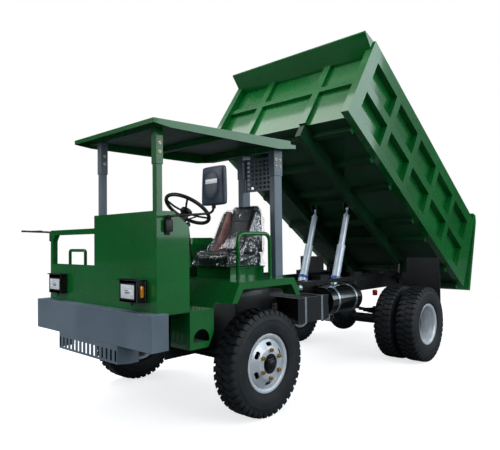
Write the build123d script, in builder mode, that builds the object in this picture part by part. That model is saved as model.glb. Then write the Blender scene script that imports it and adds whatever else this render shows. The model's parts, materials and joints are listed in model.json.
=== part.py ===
from build123d import *
import os
from math import atan2, cos, degrees, hypot, radians, sin, sqrt

os.makedirs("parts", exist_ok=True)

# Mining dump truck with an open cab on its left side, standing on its wheels with the
# bed raised. Millimetres. +Z is up, the truck faces -Y and its left side is +X.
# The origin is on the ground, under the middle of the truck's length.

# Wheels and axles
FRONT_AXLE_Y = -1840
WHEELBASE = 2617
REAR_AXLE_Y = FRONT_AXLE_Y + WHEELBASE
TYRE_R = 432.5
TYRE_W = 235
TREAD_W = 200
LUG_H = 14
LUGS = 40
RIM_FLANGE_R = 236.5
RIM_SEAT_R = 206
RIM_W = 190
RIM_T = 8
FRONT_WHEEL_X = 890
REAR_OUTER_X = 1066
REAR_INNER_X = 786
DUAL_FACE_X = (REAR_OUTER_X + REAR_INNER_X) / 2
WHEEL_Z = TYRE_R
STUDS = 6
STUD_CIRCLE_R = 111
STUD_TURN = 24
HAND_HOLES = 6
HAND_HOLE_R = 166
HAND_HOLE = (52, 28)
SPINDLE_R = 26
KINGPIN_X = 715
KINGPIN_R = 16
RUN_FIT = 0.05
STEER_ARM_Y = 165
STEER_ARM_X = KINGPIN_X

# Frame
RAIL_OUT_X = 450
RAIL_FLANGE = 70
RAIL_T = 8
RAIL_H = 180
RAIL_TOP_Z = 985
RAIL_BOTTOM_Z = RAIL_TOP_Z - RAIL_H
FRAME_FRONT_Y = FRONT_AXLE_Y - 905
SPRING_W = 70
FRONT_SPRING_X = 415
REAR_SPRING_X = 530

# Bed, measured along its floor from the rear tip (s) and up from the floor's underside (h)
BED_TILT = 34
BED_HALF_W = 1020
BED_LENGTH = 3500
WALL_H = 1045
WALL_T = 86
SKIN_T = 8
FLOOR_T = 8
BAYS = 5
BAY_GAP = 106
BAY_FIRST_S = 337
BAY_LAST_GAP = 164
BAY_PITCH = (BED_LENGTH - BAY_LAST_GAP - BAY_FIRST_S + BAY_GAP) / BAYS
BAY_LENGTH = BAY_PITCH - BAY_GAP
BAY_LOW = (115, 434)
BAY_HIGH = (547, 878)
REAR_LEAN = 119
HINGE_S = 780
HINGE_H = -120
HINGE_Z = 1086
HINGE_Y = REAR_AXLE_Y + 773
HINGE_PIN_R = 24
BEAM_X = (380, 450)
BEAM_H = 165
BED_FLOOR_Z = HINGE_Z - HINGE_H
BED_REAR_Y = HINGE_Y + HINGE_S
LIP_S = BED_LENGTH + 183
LIP_HALF_W = BED_HALF_W - 20
GATE_OPEN = 9.9
GATE_PIVOT_S = 165
PIVOT_RISE = 65
GATE_PIVOT_H = WALL_H + PIVOT_RISE
GATE_T = 60
GATE_GAP = 6
GATE_PIN_R = 16

# Hoist: two telescopic cylinders, lengths along the cylinder from the base pin
HOIST_X = 245
HOIST_BASE_Y = HINGE_Y - 1458
HOIST_BASE_Z = 500
HOIST_EYE_S = HINGE_S + 1240
HOIST_EYE_H = -72
BARREL_R, BARREL_TOP = 60, 510
STAGE1_R, STAGE1_ENDS = 50, (395, 910)
STAGE2_R, STAGE2_ENDS = 37, (750, 1313)
ROD_R, ROD_BOTTOM = 22, 1100
TUBE_T = 9
SLIDE_GAP = 0.3
BASE_PIN_R = 20

# Cab
PANEL_Y = FRONT_AXLE_Y - 965
CAB_OUT_X = 814.5
SHEET = 5
PANEL_BOTTOM_Z = 922
PANEL_MID_Z = 1235
PANEL_TOP_Z = 1642
UPPER_LEFT_X = -34
COWL_TOP_Y = FRONT_AXLE_Y - 819
COWL_REAR_Y = FRONT_AXLE_Y - 672
DASH_LOW_Z = 1536
STEP_FLOOR_Z = 906
CAB_FLOOR_Z = RAIL_TOP_Z
BUMPER_HALF_W = 876
BUMPER_Y = (FRONT_AXLE_Y - 1057, FRONT_AXLE_Y - 912)
BUMPER_Z = (669, 922)
POST = 50
SLEEVE = 60
FRONT_POST_XS = (31, 772)
FRONT_POST_Y = FRONT_AXLE_Y - 925
REAR_POST_XS = (370, 765)
REAR_POST_SIZE = (60, 100)
REAR_POST_Y = FRONT_AXLE_Y + 380
CANOPY_X = (-157, 930)
CANOPY_Y = (FRONT_AXLE_Y - 1070, FRONT_AXLE_Y + 470)
CANOPY_FRONT_Z = 2260
CANOPY_REAR_Z = 2301
CANOPY_SKIRT_Z = 2213
CANOPY_T = 4
FENDER_OUT_X = 1000
FENDER_TOP_Z = 1106
FENDER_LOW_Z = 950
FENDER_TOP_HALF = 332
FENDER_LOW_HALF = 415
SEAT_X = 470
WHEEL_TILT = 35
STEERING_WHEEL = (480, FRONT_AXLE_Y - 410, 1690)
STEERING_WHEEL_R = 210


def block(x, y, z, mode=Mode.ADD):
    """A block between two corners, each axis given as (low, high)."""
    with Locations(((x[0] + x[1]) / 2, (y[0] + y[1]) / 2, (z[0] + z[1]) / 2)):
        Box(x[1] - x[0], y[1] - y[0], z[1] - z[0], mode=mode)


def side_plate(points, x, mode=Mode.ADD):
    """An outline of (y, z) points, made thick between the two x values."""
    with BuildSketch(Plane.YZ.offset(x[0])) as outline:
        Polygon(*points, align=None)
    extrude(outline.sketch, amount=x[1] - x[0], mode=mode)


def cross_plate(points, y, mode=Mode.ADD):
    """An outline of (x, z) points, made thick between the two y values."""
    with BuildSketch(Plane(origin=(0, y[1], 0), x_dir=(1, 0, 0), z_dir=(0, -1, 0))) as outline:
        Polygon(*points, align=None)
    extrude(outline.sketch, amount=y[1] - y[0], mode=mode)


def rod(start, end, radius, mode=Mode.ADD):
    """A round bar between two points."""
    run = Vector(*end) - Vector(*start)
    with BuildSketch(Plane(origin=start, z_dir=run)) as section:
        Circle(radius)
    extrude(section.sketch, amount=run.length, mode=mode)


def pipe(points, bend, radius):
    """A round tube along straight runs joined by bends."""
    with BuildLine() as path:
        FilletPolyline(*points, radius=bend)
    with BuildSketch(Plane(origin=path.line @ 0, z_dir=path.line % 0)) as section:
        Circle(radius)
    sweep(section.sketch, path=path.line)


def keep(piece, name):
    """Labels a finished piece and writes its file."""
    piece.label = name
    export_step(piece, f"parts/{name}.step")


def bed_point(s, h):
    """Where a place on the bed lies in (y, z) with the bed lowered."""
    return (BED_REAR_Y - s, BED_FLOOR_Z + h)


BED_HINGE = Axis((0, HINGE_Y, HINGE_Z), (1, 0, 0))
GATE_PIVOT = Axis((0, *bed_point(GATE_PIVOT_S, GATE_PIVOT_H)), (1, 0, 0))


def raised(piece):
    """The piece turned with the bed from lowered to raised."""
    return piece.rotate(BED_HINGE, -BED_TILT)


# Frame: two channel rails, cross members between them, ears at the tail for the bed's
# hinge pin, pads on which the lowered bed rests, and drop brackets for the hoist
RAIL_IN_X = RAIL_OUT_X - RAIL_FLANGE
FRAME_REAR_Y = HINGE_Y + 28
HOIST_PLATE_OUT_X = RAIL_IN_X - 20
HOIST_PLATE_IN_X = HOIST_X - 74
CROSS_YS = (FRONT_AXLE_Y - 830, FRONT_AXLE_Y + 560, REAR_AXLE_Y - 1057, REAR_AXLE_Y - 197, HINGE_Y - 90)
PAD_PARTS = (0.363, 0.563, 0.763, 0.963)
EAR_Y = (HINGE_Y - 75, HINGE_Y + 40)
EAR_T = 22
with BuildPart() as frame_rails:
    block((RAIL_IN_X, RAIL_OUT_X), (FRAME_FRONT_Y, FRAME_REAR_Y), (RAIL_BOTTOM_Z, RAIL_TOP_Z))
    block((RAIL_IN_X, RAIL_OUT_X - RAIL_T), (FRAME_FRONT_Y, FRAME_REAR_Y),
          (RAIL_BOTTOM_Z + RAIL_T, RAIL_TOP_Z - RAIL_T), Mode.SUBTRACT)
    mirror(about=Plane.YZ)

with BuildPart() as cross_members:
    web_x = RAIL_OUT_X - RAIL_T
    for y in CROSS_YS:
        block((-web_x, web_x), (y - 35, y + 35), (RAIL_BOTTOM_Z + 30, RAIL_TOP_Z - 30))
        block((-web_x, web_x), (y - 27, y + 35), (RAIL_BOTTOM_Z + 38, RAIL_TOP_Z - 38), Mode.SUBTRACT)

with BuildPart() as hinge_ears:
    side_plate([(EAR_Y[0] - 60, RAIL_BOTTOM_Z + 20), (EAR_Y[1], RAIL_BOTTOM_Z + 20), (EAR_Y[1], HINGE_Z + 20),
                (HINGE_Y, HINGE_Z + 45), (EAR_Y[0], HINGE_Z + 10)], (RAIL_OUT_X, RAIL_OUT_X + EAR_T))
    rod((BEAM_X[0] - 12, HINGE_Y, HINGE_Z), (RAIL_OUT_X + EAR_T + 8, HINGE_Y, HINGE_Z), HINGE_PIN_R)
    mirror(about=Plane.YZ)

with BuildPart() as rest_pads:
    for part in PAD_PARTS:
        pad_y = BED_REAR_Y - part * BED_LENGTH
        block((RAIL_IN_X + 5, RAIL_OUT_X - 5), (pad_y, pad_y + 160), (RAIL_TOP_Z, BED_FLOOR_Z - BEAM_H - 6))
    mirror(about=Plane.YZ)

with BuildPart() as hoist_brackets:
    for side in (-1, 1):
        for x in (side * HOIST_PLATE_OUT_X, side * HOIST_PLATE_IN_X):
            side_plate([(HOIST_BASE_Y - 90, RAIL_TOP_Z - 60), (HOIST_BASE_Y + 90, RAIL_TOP_Z - 60),
                        (HOIST_BASE_Y + 45, HOIST_BASE_Z - 40), (HOIST_BASE_Y - 45, HOIST_BASE_Z - 40)],
                       (x - 7, x + 7))
        rod((side * HOIST_PLATE_IN_X, HOIST_BASE_Y, HOIST_BASE_Z),
            (side * HOIST_PLATE_OUT_X, HOIST_BASE_Y, HOIST_BASE_Z), BASE_PIN_R)
    block((-RAIL_OUT_X + RAIL_T, RAIL_OUT_X - RAIL_T), (HOIST_BASE_Y - 90, HOIST_BASE_Y - 82),
          (RAIL_TOP_Z - 140, RAIL_TOP_Z - 60))

FRAME_PLATES = (frame_rails, cross_members, hinge_ears, rest_pads, hoist_brackets)
frame = Compound([solid for plates in FRAME_PLATES for solid in plates.part.solids()])
keep(frame, "frame")


def leaf_pack(x, y, bow, seat_z, half, leaves):
    """A stack of leaves, longest on top, bowed down to the axle seat."""
    for k in range(leaves):
        reach = half * (1 - k * 0.16)
        top = seat_z + leaves * 12 - k * 12
        ends = top + bow * (reach / half) ** 2
        with BuildSketch(Plane.YZ.offset(x - SPRING_W / 2)) as leaf:
            with BuildLine():
                upper = ThreePointArc((y - reach, ends), (y, top), (y + reach, ends))
                lower = ThreePointArc((y - reach, ends - 12), (y, top - 12), (y + reach, ends - 12))
                Line(upper @ 0, lower @ 0)
                Line(upper @ 1, lower @ 1)
            make_face()
        extrude(leaf.sketch, amount=SPRING_W)


FRONT_SEAT_Z = WHEEL_Z + 60
REAR_SEAT_Z = WHEEL_Z + 78
FRONT_EYE_RISE = 110
REAR_EYE_RISE = 90
with BuildPart() as leaf_springs:
    for x, y, seat, rise, half, leaves in (
        (FRONT_SPRING_X, FRONT_AXLE_Y, FRONT_SEAT_Z, FRONT_EYE_RISE, 480, 4),
        (REAR_SPRING_X, REAR_AXLE_Y, REAR_SEAT_Z, REAR_EYE_RISE, 620, 6),
    ):
        leaf_pack(x, y, rise, seat, half, leaves)
        for end in (-1, 1):
            eye_y, eye_z = y + end * half, seat + rise + leaves * 12 - 6
            rod((x - SPRING_W / 2 - 1.7, eye_y, eye_z), (x + SPRING_W / 2 + 1.7, eye_y, eye_z), 24)
            side_plate([(eye_y - 40, RAIL_TOP_Z - 40), (eye_y + 40, RAIL_TOP_Z - 40), (eye_y + 28, eye_z - 28),
                        (eye_y - 28, eye_z - 28)], (x + SPRING_W / 2 + 2, x + SPRING_W / 2 + 12))
            block((RAIL_OUT_X, x + SPRING_W / 2 + 12), (eye_y - 40, eye_y + 40),
                  (RAIL_TOP_Z - 60, RAIL_TOP_Z - 40))
        for d in (-62, 62):
            block((x - SPRING_W / 2 - 14, x + SPRING_W / 2 + 14), (y + d - 8, y + d + 8),
                  (seat, seat + leaves * 12 + 14))
    mirror(about=Plane.YZ)
keep(leaf_springs.part, "leaf_springs")


# Front axle: a beam with an upright boss at each end for the kingpins
BOSS_R = 36
BOSS_HALF_H = 42
BEAM_Z = WHEEL_Z
with BuildPart() as front_axle:
    block((0, KINGPIN_X - 60), (FRONT_AXLE_Y - 32, FRONT_AXLE_Y + 32), (BEAM_Z - 40, BEAM_Z + 40))
    block((0, KINGPIN_X - 60), (FRONT_AXLE_Y - 32, FRONT_AXLE_Y - 10), (BEAM_Z - 24, BEAM_Z + 24), Mode.SUBTRACT)
    block((0, KINGPIN_X - 60), (FRONT_AXLE_Y + 10, FRONT_AXLE_Y + 32), (BEAM_Z - 24, BEAM_Z + 24), Mode.SUBTRACT)
    block((KINGPIN_X - 70, KINGPIN_X), (FRONT_AXLE_Y - 26, FRONT_AXLE_Y + 26), (BEAM_Z - 34, BEAM_Z + 34))
    block((FRONT_SPRING_X - 50, FRONT_SPRING_X + 50), (FRONT_AXLE_Y - 75, FRONT_AXLE_Y + 75),
          (BEAM_Z + 36, FRONT_SEAT_Z))
    rod((KINGPIN_X, FRONT_AXLE_Y, BEAM_Z - BOSS_HALF_H), (KINGPIN_X, FRONT_AXLE_Y, BEAM_Z + BOSS_HALF_H), BOSS_R)
    rod((KINGPIN_X, FRONT_AXLE_Y, BEAM_Z - BOSS_HALF_H - 1), (KINGPIN_X, FRONT_AXLE_Y, BEAM_Z + BOSS_HALF_H + 1),
        KINGPIN_R + RUN_FIT, Mode.SUBTRACT)
    mirror(about=Plane.YZ)
keep(front_axle.part, "front_axle")

# Rear axle: tube, differential bowl and propeller shaft
DIFF_R = 180
SHAFT_START = (0, FRONT_AXLE_Y + 490, 680)
SHAFT_END = (0, REAR_AXLE_Y - DIFF_R - 60, WHEEL_Z + 10)
SHAFT_SLOPE = (SHAFT_START[2] - SHAFT_END[2]) / (SHAFT_END[1] - SHAFT_START[1])
with BuildPart() as rear_axle:
    rod((-REAR_INNER_X + 60, REAR_AXLE_Y, WHEEL_Z), (REAR_INNER_X - 60, REAR_AXLE_Y, WHEEL_Z), 58)
    with Locations((0, REAR_AXLE_Y, WHEEL_Z)):
        Sphere(DIFF_R)
    rod((0, REAR_AXLE_Y - DIFF_R - 70, WHEEL_Z + 10), (0, REAR_AXLE_Y, WHEEL_Z + 10), 75)
    for side in (-1, 1):
        block((side * REAR_SPRING_X - 48, side * REAR_SPRING_X + 48), (REAR_AXLE_Y - 80, REAR_AXLE_Y + 80),
              (WHEEL_Z + 30, REAR_SEAT_Z))
        rod((side * (REAR_INNER_X - 60), REAR_AXLE_Y, WHEEL_Z), (side * (DUAL_FACE_X + 60), REAR_AXLE_Y, WHEEL_Z),
            45)
    rod(SHAFT_START, SHAFT_END, 38)
keep(rear_axle.part, "rear_axle")

# Engine with gearbox and radiator
ENGINE_Y = (FRONT_AXLE_Y - 560, FRONT_AXLE_Y + 160)
with BuildPart() as engine:
    block((-190, 190), ENGINE_Y, (620, 960))
    block((-130, 40), (FRONT_AXLE_Y - 450, FRONT_AXLE_Y - 60), (960, 1130))
    block((-120, 30), (FRONT_AXLE_Y - 435, FRONT_AXLE_Y - 80), (1130, 1165))
    block((-140, 140), (ENGINE_Y[0] + 60, ENGINE_Y[1] - 60), (540, 620))
    rod((0, ENGINE_Y[1] - 10, SHAFT_START[2] + (SHAFT_START[1] - ENGINE_Y[1] + 10) * SHAFT_SLOPE), SHAFT_START, 115)
    rod((0, ENGINE_Y[0] - 130, 830), (0, ENGINE_Y[0], 830), 45)
    block((-300, 300), (ENGINE_Y[0] - 220, ENGINE_Y[0] - 130), (600, 975))
    for side in (-1, 1):
        block(sorted((side * 190, side * (RAIL_OUT_X - RAIL_T))), (ENGINE_Y[0] + 200, ENGINE_Y[0] + 280), (825, 905))
keep(engine.part, "engine")

# Bumper: a deep box with small notched corners
with BuildPart() as bumper:
    block((-BUMPER_HALF_W, BUMPER_HALF_W), BUMPER_Y, BUMPER_Z)
    block((-BUMPER_HALF_W + SHEET, BUMPER_HALF_W - SHEET), (BUMPER_Y[0] + SHEET, BUMPER_Y[1] + 1),
          (BUMPER_Z[0] + SHEET, BUMPER_Z[1] - SHEET), Mode.SUBTRACT)
    for side in (-1, 1):
        block((side * (RAIL_OUT_X - 30) - 30, side * (RAIL_OUT_X - 30) + 30), (BUMPER_Y[0] + SHEET, BUMPER_Y[1]),
              (RAIL_BOTTOM_Z + 20, BUMPER_Z[1] - SHEET))
keep(bumper.part, "bumper")

# Slotted guard below the bumper, with bevelled ends
GRILLE_HALF_W = 490
GRILLE_BEVEL = 70
GRILLE_Z = (533, BUMPER_Z[0])
GRILLE_SLOTS = 15
with BuildPart() as bumper_grille:
    with BuildSketch(Plane.XY.offset(GRILLE_Z[0])) as outline:
        with BuildLine():
            outer = Polyline((-GRILLE_HALF_W, BUMPER_Y[1] + 12), (-GRILLE_HALF_W, BUMPER_Y[0] + GRILLE_BEVEL),
                             (-GRILLE_HALF_W + GRILLE_BEVEL * 0.6, BUMPER_Y[0] + 4),
                             (GRILLE_HALF_W - GRILLE_BEVEL * 0.6, BUMPER_Y[0] + 4),
                             (GRILLE_HALF_W, BUMPER_Y[0] + GRILLE_BEVEL), (GRILLE_HALF_W, BUMPER_Y[1] + 12))
            offset(outer, amount=-SHEET, side=Side.RIGHT, closed=True)
        make_face()
    extrude(outline.sketch, amount=GRILLE_Z[1] - GRILLE_Z[0])
    with BuildSketch(Plane.XZ.offset(-BUMPER_Y[0] - 30)) as slots:
        with Locations((0, GRILLE_Z[0] + 58)):
            with GridLocations((GRILLE_HALF_W - 60) * 2 / (GRILLE_SLOTS - 1), 1, GRILLE_SLOTS, 1):
                Rectangle(26, 82)
    extrude(slots.sketch, amount=60, mode=Mode.SUBTRACT)
keep(bumper_grille.part, "bumper_grille")

# Cowl: wide lower panel, tall left panel and side plate, with a dash under its top
with BuildPart() as cowl:
    panel = (PANEL_Y, PANEL_Y + SHEET)
    block((-CAB_OUT_X, CAB_OUT_X), panel, (PANEL_BOTTOM_Z, PANEL_MID_Z))
    block((UPPER_LEFT_X, CAB_OUT_X), panel, (PANEL_BOTTOM_Z, PANEL_TOP_Z))
    block((-CAB_OUT_X, UPPER_LEFT_X), (PANEL_Y, PANEL_Y + 60), (PANEL_MID_Z - SHEET, PANEL_MID_Z))
    block((-CAB_OUT_X, -CAB_OUT_X + SHEET), (PANEL_Y, PANEL_Y + 60), (PANEL_BOTTOM_Z, PANEL_MID_Z))
    block((UPPER_LEFT_X, CAB_OUT_X), (PANEL_Y, COWL_TOP_Y), (PANEL_TOP_Z - SHEET, PANEL_TOP_Z))
    side_outline = [(PANEL_Y, PANEL_BOTTOM_Z), (BUMPER_Y[1] + 4, PANEL_BOTTOM_Z),
                    (BUMPER_Y[1] + 4, STEP_FLOOR_Z), (COWL_REAR_Y, STEP_FLOOR_Z),
                    (COWL_REAR_Y, DASH_LOW_Z), (COWL_TOP_Y, PANEL_TOP_Z), (PANEL_Y, PANEL_TOP_Z)]
    side_plate(side_outline, (CAB_OUT_X - SHEET, CAB_OUT_X))
    side_plate([(PANEL_Y, CAB_FLOOR_Z + 6), (COWL_REAR_Y, CAB_FLOOR_Z + 6), (COWL_REAR_Y, DASH_LOW_Z),
                (COWL_TOP_Y, PANEL_TOP_Z), (PANEL_Y, PANEL_TOP_Z)], (UPPER_LEFT_X, UPPER_LEFT_X + SHEET))
    side_plate([(COWL_TOP_Y, PANEL_TOP_Z), (COWL_REAR_Y, DASH_LOW_Z), (COWL_REAR_Y - 4, DASH_LOW_Z - 6),
                (COWL_TOP_Y - 4, PANEL_TOP_Z - 6)], (UPPER_LEFT_X, CAB_OUT_X))
keep(cowl.part, "cowl")

# Floor: foot wells at both sides, raised middle over the rails and the two step boxes
SLOPE = (FENDER_LOW_HALF - FENDER_TOP_HALF) / (FENDER_TOP_Z - FENDER_LOW_Z)


def slope_y(z):
    """Where the front slope of the deck and fenders stands at height z."""
    return FRONT_AXLE_Y - FENDER_TOP_HALF - (FENDER_TOP_Z - z) * SLOPE


FENDER_T = 4
FLOOR_T_CAB = 6
FLOOR_TOP_Z = CAB_FLOOR_Z + FLOOR_T_CAB
FOOT_Y = slope_y(STEP_FLOOR_Z) + 5
STEP_BOX = [(COWL_REAR_Y, STEP_FLOOR_Z - 6), (COWL_REAR_Y, 620), (FRONT_AXLE_Y - 492, 620),
            (FRONT_AXLE_Y - 450, 700), (FRONT_AXLE_Y - 434, 740), (FRONT_AXLE_Y - 434, STEP_FLOOR_Z - 6)]
STEP_HOLE_Y = FRONT_AXLE_Y - 560
STEP_HOLE_R = 80
STEP_HOLE_Z = (667, 684)
WELL_IN_X = RAIL_OUT_X + 30
STEP_IN_X = CAB_OUT_X - 230
FLOOR_REAR_Y = FRONT_AXLE_Y + 440
FLOOR_IN_X = 60
HEAD_HOLE_X, HEAD_HOLE_Y = (-150, 60), (FRONT_AXLE_Y - 470, FRONT_AXLE_Y - 50)
with BuildPart() as cab_floor:
    block((WELL_IN_X, CAB_OUT_X - SHEET), (BUMPER_Y[1] + 1, FOOT_Y), (STEP_FLOOR_Z - 6, STEP_FLOOR_Z))
    block((WELL_IN_X, CAB_OUT_X), (COWL_REAR_Y, FOOT_Y), (STEP_FLOOR_Z - 6, STEP_FLOOR_Z))
    block((CAB_OUT_X - 6, CAB_OUT_X), (COWL_REAR_Y, FOOT_Y), (STEP_FLOOR_Z - 46, STEP_FLOOR_Z))
    block((WELL_IN_X - 6, WELL_IN_X), (BUMPER_Y[1] + 1, slope_y(FLOOR_TOP_Z)), (STEP_FLOOR_Z - 6, CAB_FLOOR_Z + 3))
    block((0, WELL_IN_X), (PANEL_Y + SHEET, FRONT_AXLE_Y - 560), (CAB_FLOOR_Z, FLOOR_TOP_Z))
    block((FLOOR_IN_X, WELL_IN_X), (FRONT_AXLE_Y - 561, FLOOR_REAR_Y), (CAB_FLOOR_Z, FLOOR_TOP_Z))
    side_plate(STEP_BOX, (CAB_OUT_X - 4, CAB_OUT_X))
    block((STEP_IN_X, CAB_OUT_X), (COWL_REAR_Y, COWL_REAR_Y + 4), (620, STEP_FLOOR_Z - 6))
    block((STEP_IN_X, CAB_OUT_X), (COWL_REAR_Y, FRONT_AXLE_Y - 495), (660, 666))
    # round-topped foothold in the step box
    with BuildSketch(Plane.YZ.offset(CAB_OUT_X - 5)) as hole:
        with BuildLine():
            Polyline((STEP_HOLE_Y - STEP_HOLE_R, STEP_HOLE_Z[1]), (STEP_HOLE_Y - STEP_HOLE_R, STEP_HOLE_Z[0]),
                     (STEP_HOLE_Y + STEP_HOLE_R, STEP_HOLE_Z[0]), (STEP_HOLE_Y + STEP_HOLE_R, STEP_HOLE_Z[1]))
            ThreePointArc((STEP_HOLE_Y + STEP_HOLE_R, STEP_HOLE_Z[1]), (STEP_HOLE_Y, STEP_HOLE_Z[1] + STEP_HOLE_R),
                          (STEP_HOLE_Y - STEP_HOLE_R, STEP_HOLE_Z[1]))
        make_face()
    extrude(hole.sketch, amount=6, mode=Mode.SUBTRACT)
    mirror(about=Plane.YZ)
    block(HEAD_HOLE_X, HEAD_HOLE_Y, (CAB_FLOOR_Z - 1, FLOOR_TOP_Z + 1), Mode.SUBTRACT)
keep(cab_floor.part, "cab_floor")

# Deck over the front wheels: a folded sheet that slopes up from the floor, the box that
# carries the seat, and outside it the trapezoid fenders with a flange along their edge
DECK_IN_X = (95, -605)
FLANGE_DEPTH = 55
BOX_X = (230, 660)
BOX_Y = (FRONT_AXLE_Y - 100, FRONT_AXLE_Y + 322)
BOX_TOP_Z = 1200


def deck_outline(foot_z):
    """The folded sheet seen from the side, with its front foot at a height."""
    inner_z = FENDER_TOP_Z - FENDER_T
    return [(slope_y(foot_z), foot_z), (slope_y(FENDER_TOP_Z), FENDER_TOP_Z), (FLOOR_REAR_Y, FENDER_TOP_Z),
            (FLOOR_REAR_Y, FLOOR_TOP_Z), (FLOOR_REAR_Y - FENDER_T, FLOOR_TOP_Z), (FLOOR_REAR_Y - FENDER_T, inner_z),
            (slope_y(inner_z) + FENDER_T, inner_z), (slope_y(foot_z) + FENDER_T + 0.6, foot_z)]


def arch(drop):
    """The fender's outline, sunk by a drop measured square to the sheet."""
    return [(FRONT_AXLE_Y - FENDER_LOW_HALF + drop, FENDER_LOW_Z), (FRONT_AXLE_Y - FENDER_TOP_HALF + drop * 0.7,
            FENDER_TOP_Z - drop), (FRONT_AXLE_Y + FENDER_TOP_HALF - drop * 0.7, FENDER_TOP_Z - drop),
            (FRONT_AXLE_Y + FENDER_LOW_HALF - drop, FENDER_LOW_Z)]


with BuildPart() as fenders:
    for side, inner in zip((1, -1), DECK_IN_X):
        side_plate(deck_outline(STEP_FLOOR_Z), sorted((side * max(WELL_IN_X, abs(inner)), side * CAB_OUT_X)))
        if abs(inner) < WELL_IN_X:
            side_plate(deck_outline(FLOOR_TOP_Z), (inner, WELL_IN_X))
        for depth, out_x in ((FENDER_T, CAB_OUT_X), (FLANGE_DEPTH, FENDER_OUT_X - FENDER_T)):
            side_plate(arch(0) + arch(depth)[::-1], sorted((side * out_x, side * FENDER_OUT_X)))
    block(BOX_X, BOX_Y, (FENDER_TOP_Z - 1, BOX_TOP_Z - 10))
    block((BOX_X[0] + SHEET, BOX_X[1] - SHEET), (BOX_Y[0] + SHEET, BOX_Y[1] - SHEET),
          (FENDER_TOP_Z, BOX_TOP_Z - 10 - SHEET), Mode.SUBTRACT)
    block((BOX_X[0] - 12, BOX_X[1] + 16), (BOX_Y[0] - 12, BOX_Y[1]), (BOX_TOP_Z - 10, BOX_TOP_Z))
keep(fenders.part, "fenders")

# Engine cover beside the driver: a tall box, and a low hump in front over the engine's head
COVER_X = (-600, 90)
COVER_Y = (FRONT_AXLE_Y - 40, FRONT_AXLE_Y + 330)
COVER_TOP_Z = 1460
HUMP_X = (-190, 90)
HUMP_Y = FRONT_AXLE_Y - 500
HUMP_TOP_Z = 1190
with BuildPart() as engine_cover:
    block(COVER_X, COVER_Y, (FLOOR_TOP_Z, COVER_TOP_Z))
    chamfer(engine_cover.edges().filter_by(GeomType.LINE).group_by(Axis.Z)[-1], 60)
    block((COVER_X[0] + SHEET, COVER_X[1] - SHEET), (COVER_Y[0] + SHEET, COVER_Y[1] - SHEET),
          (FLOOR_TOP_Z - 1, COVER_TOP_Z - 70), Mode.SUBTRACT)
    block(HUMP_X, (HUMP_Y, COVER_Y[0] + 1), (FLOOR_TOP_Z, HUMP_TOP_Z))
    block((HUMP_X[0] + SHEET, HUMP_X[1] - SHEET), (HUMP_Y + SHEET, COVER_Y[0]), (FLOOR_TOP_Z - 1, HUMP_TOP_Z - SHEET),
          Mode.SUBTRACT)
keep(engine_cover.part, "engine_cover")

# Seat: cushion and backrest
with BuildPart() as seat:
    with Locations((SEAT_X, FRONT_AXLE_Y + 60, BOX_TOP_Z + 68)):
        Box(440, 460, 136)
    fillet(seat.edges(), 40)
    side_plate([(FRONT_AXLE_Y + 190, BOX_TOP_Z + 110), (FRONT_AXLE_Y + 300, BOX_TOP_Z + 90),
                (FRONT_AXLE_Y + 322, BOX_TOP_Z + 560), (FRONT_AXLE_Y + 240, BOX_TOP_Z + 565)],
               (SEAT_X - 220, SEAT_X + 220))
keep(seat.part, "seat")

# Guard rails: hoop by the seat, square frame at the right front and a small hoop behind it
with BuildPart() as rails:
    hoop_x = CAB_OUT_X - 15
    hoop_y = (FRONT_AXLE_Y - 148, FRONT_AXLE_Y + 247)
    hoop_z = 1484
    pipe([(hoop_x, hoop_y[0], FENDER_TOP_Z), (hoop_x, hoop_y[0], hoop_z), (hoop_x, hoop_y[1], hoop_z),
          (hoop_x, hoop_y[1], FENDER_TOP_Z)], 70, 17)
    block((-CAB_OUT_X, -CAB_OUT_X + 45), (PANEL_Y, PANEL_Y + 45), (PANEL_MID_Z, 1540))
    block((-CAB_OUT_X, UPPER_LEFT_X), (PANEL_Y, PANEL_Y + 45), (1495, 1540))
    cross_plate([(-CAB_OUT_X + 44, 1496), (-CAB_OUT_X + 90, 1496), (-CAB_OUT_X + 44, 1440)],
                (PANEL_Y, PANEL_Y + 45))
    small_y = PANEL_Y + 45
    pipe([(-530, small_y, PANEL_MID_Z), (-530, small_y, 1358), (-260, small_y, 1358),
          (-260, small_y, PANEL_MID_Z)], 20, 13)
keep(rails.part, "rails")

# Posts of the canopy, with the slotted plate between the rear ones
POST_TOP_Z = CANOPY_SKIRT_Z + 20
with BuildPart() as posts:
    for x in FRONT_POST_XS:
        block((x - POST / 2, x + POST / 2), (FRONT_POST_Y - POST / 2, FRONT_POST_Y + POST / 2),
              (PANEL_TOP_Z, POST_TOP_Z))
        block((x - SLEEVE / 2, x + SLEEVE / 2), (FRONT_POST_Y - SLEEVE / 2, FRONT_POST_Y + SLEEVE / 2),
              (1975, POST_TOP_Z))
    for x in REAR_POST_XS:
        w, d = REAR_POST_SIZE
        block((x - w / 2, x + w / 2), (REAR_POST_Y - d / 2, REAR_POST_Y + d / 2), (FENDER_TOP_Z, POST_TOP_Z))
        block((x - w / 2 - 5, x + w / 2 + 5), (REAR_POST_Y - d / 2 - 5, REAR_POST_Y + d / 2 + 5),
              (2005, POST_TOP_Z))
    left, right = REAR_POST_XS[0] + 35, REAR_POST_XS[1] - 35
    block((left, right), (REAR_POST_Y - 15, REAR_POST_Y - 10), (1880, 2190))
    with BuildSketch(Plane.XZ.offset(-REAR_POST_Y + 5)) as holes:
        with Locations(((left + right) / 2, 2035)):
            with GridLocations(50, 40, 6, 7):
                Rectangle(30, 22)
    extrude(holes.sketch, amount=30, mode=Mode.SUBTRACT)
    extrude(holes.sketch, amount=-30, mode=Mode.SUBTRACT)
keep(posts.part, "posts")

# Canopy: one sheet rising to the rear, with skirts and cross channels beneath
CANOPY_RISE = (CANOPY_REAR_Z - CANOPY_FRONT_Z) / (CANOPY_Y[1] - CANOPY_Y[0])


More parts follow.
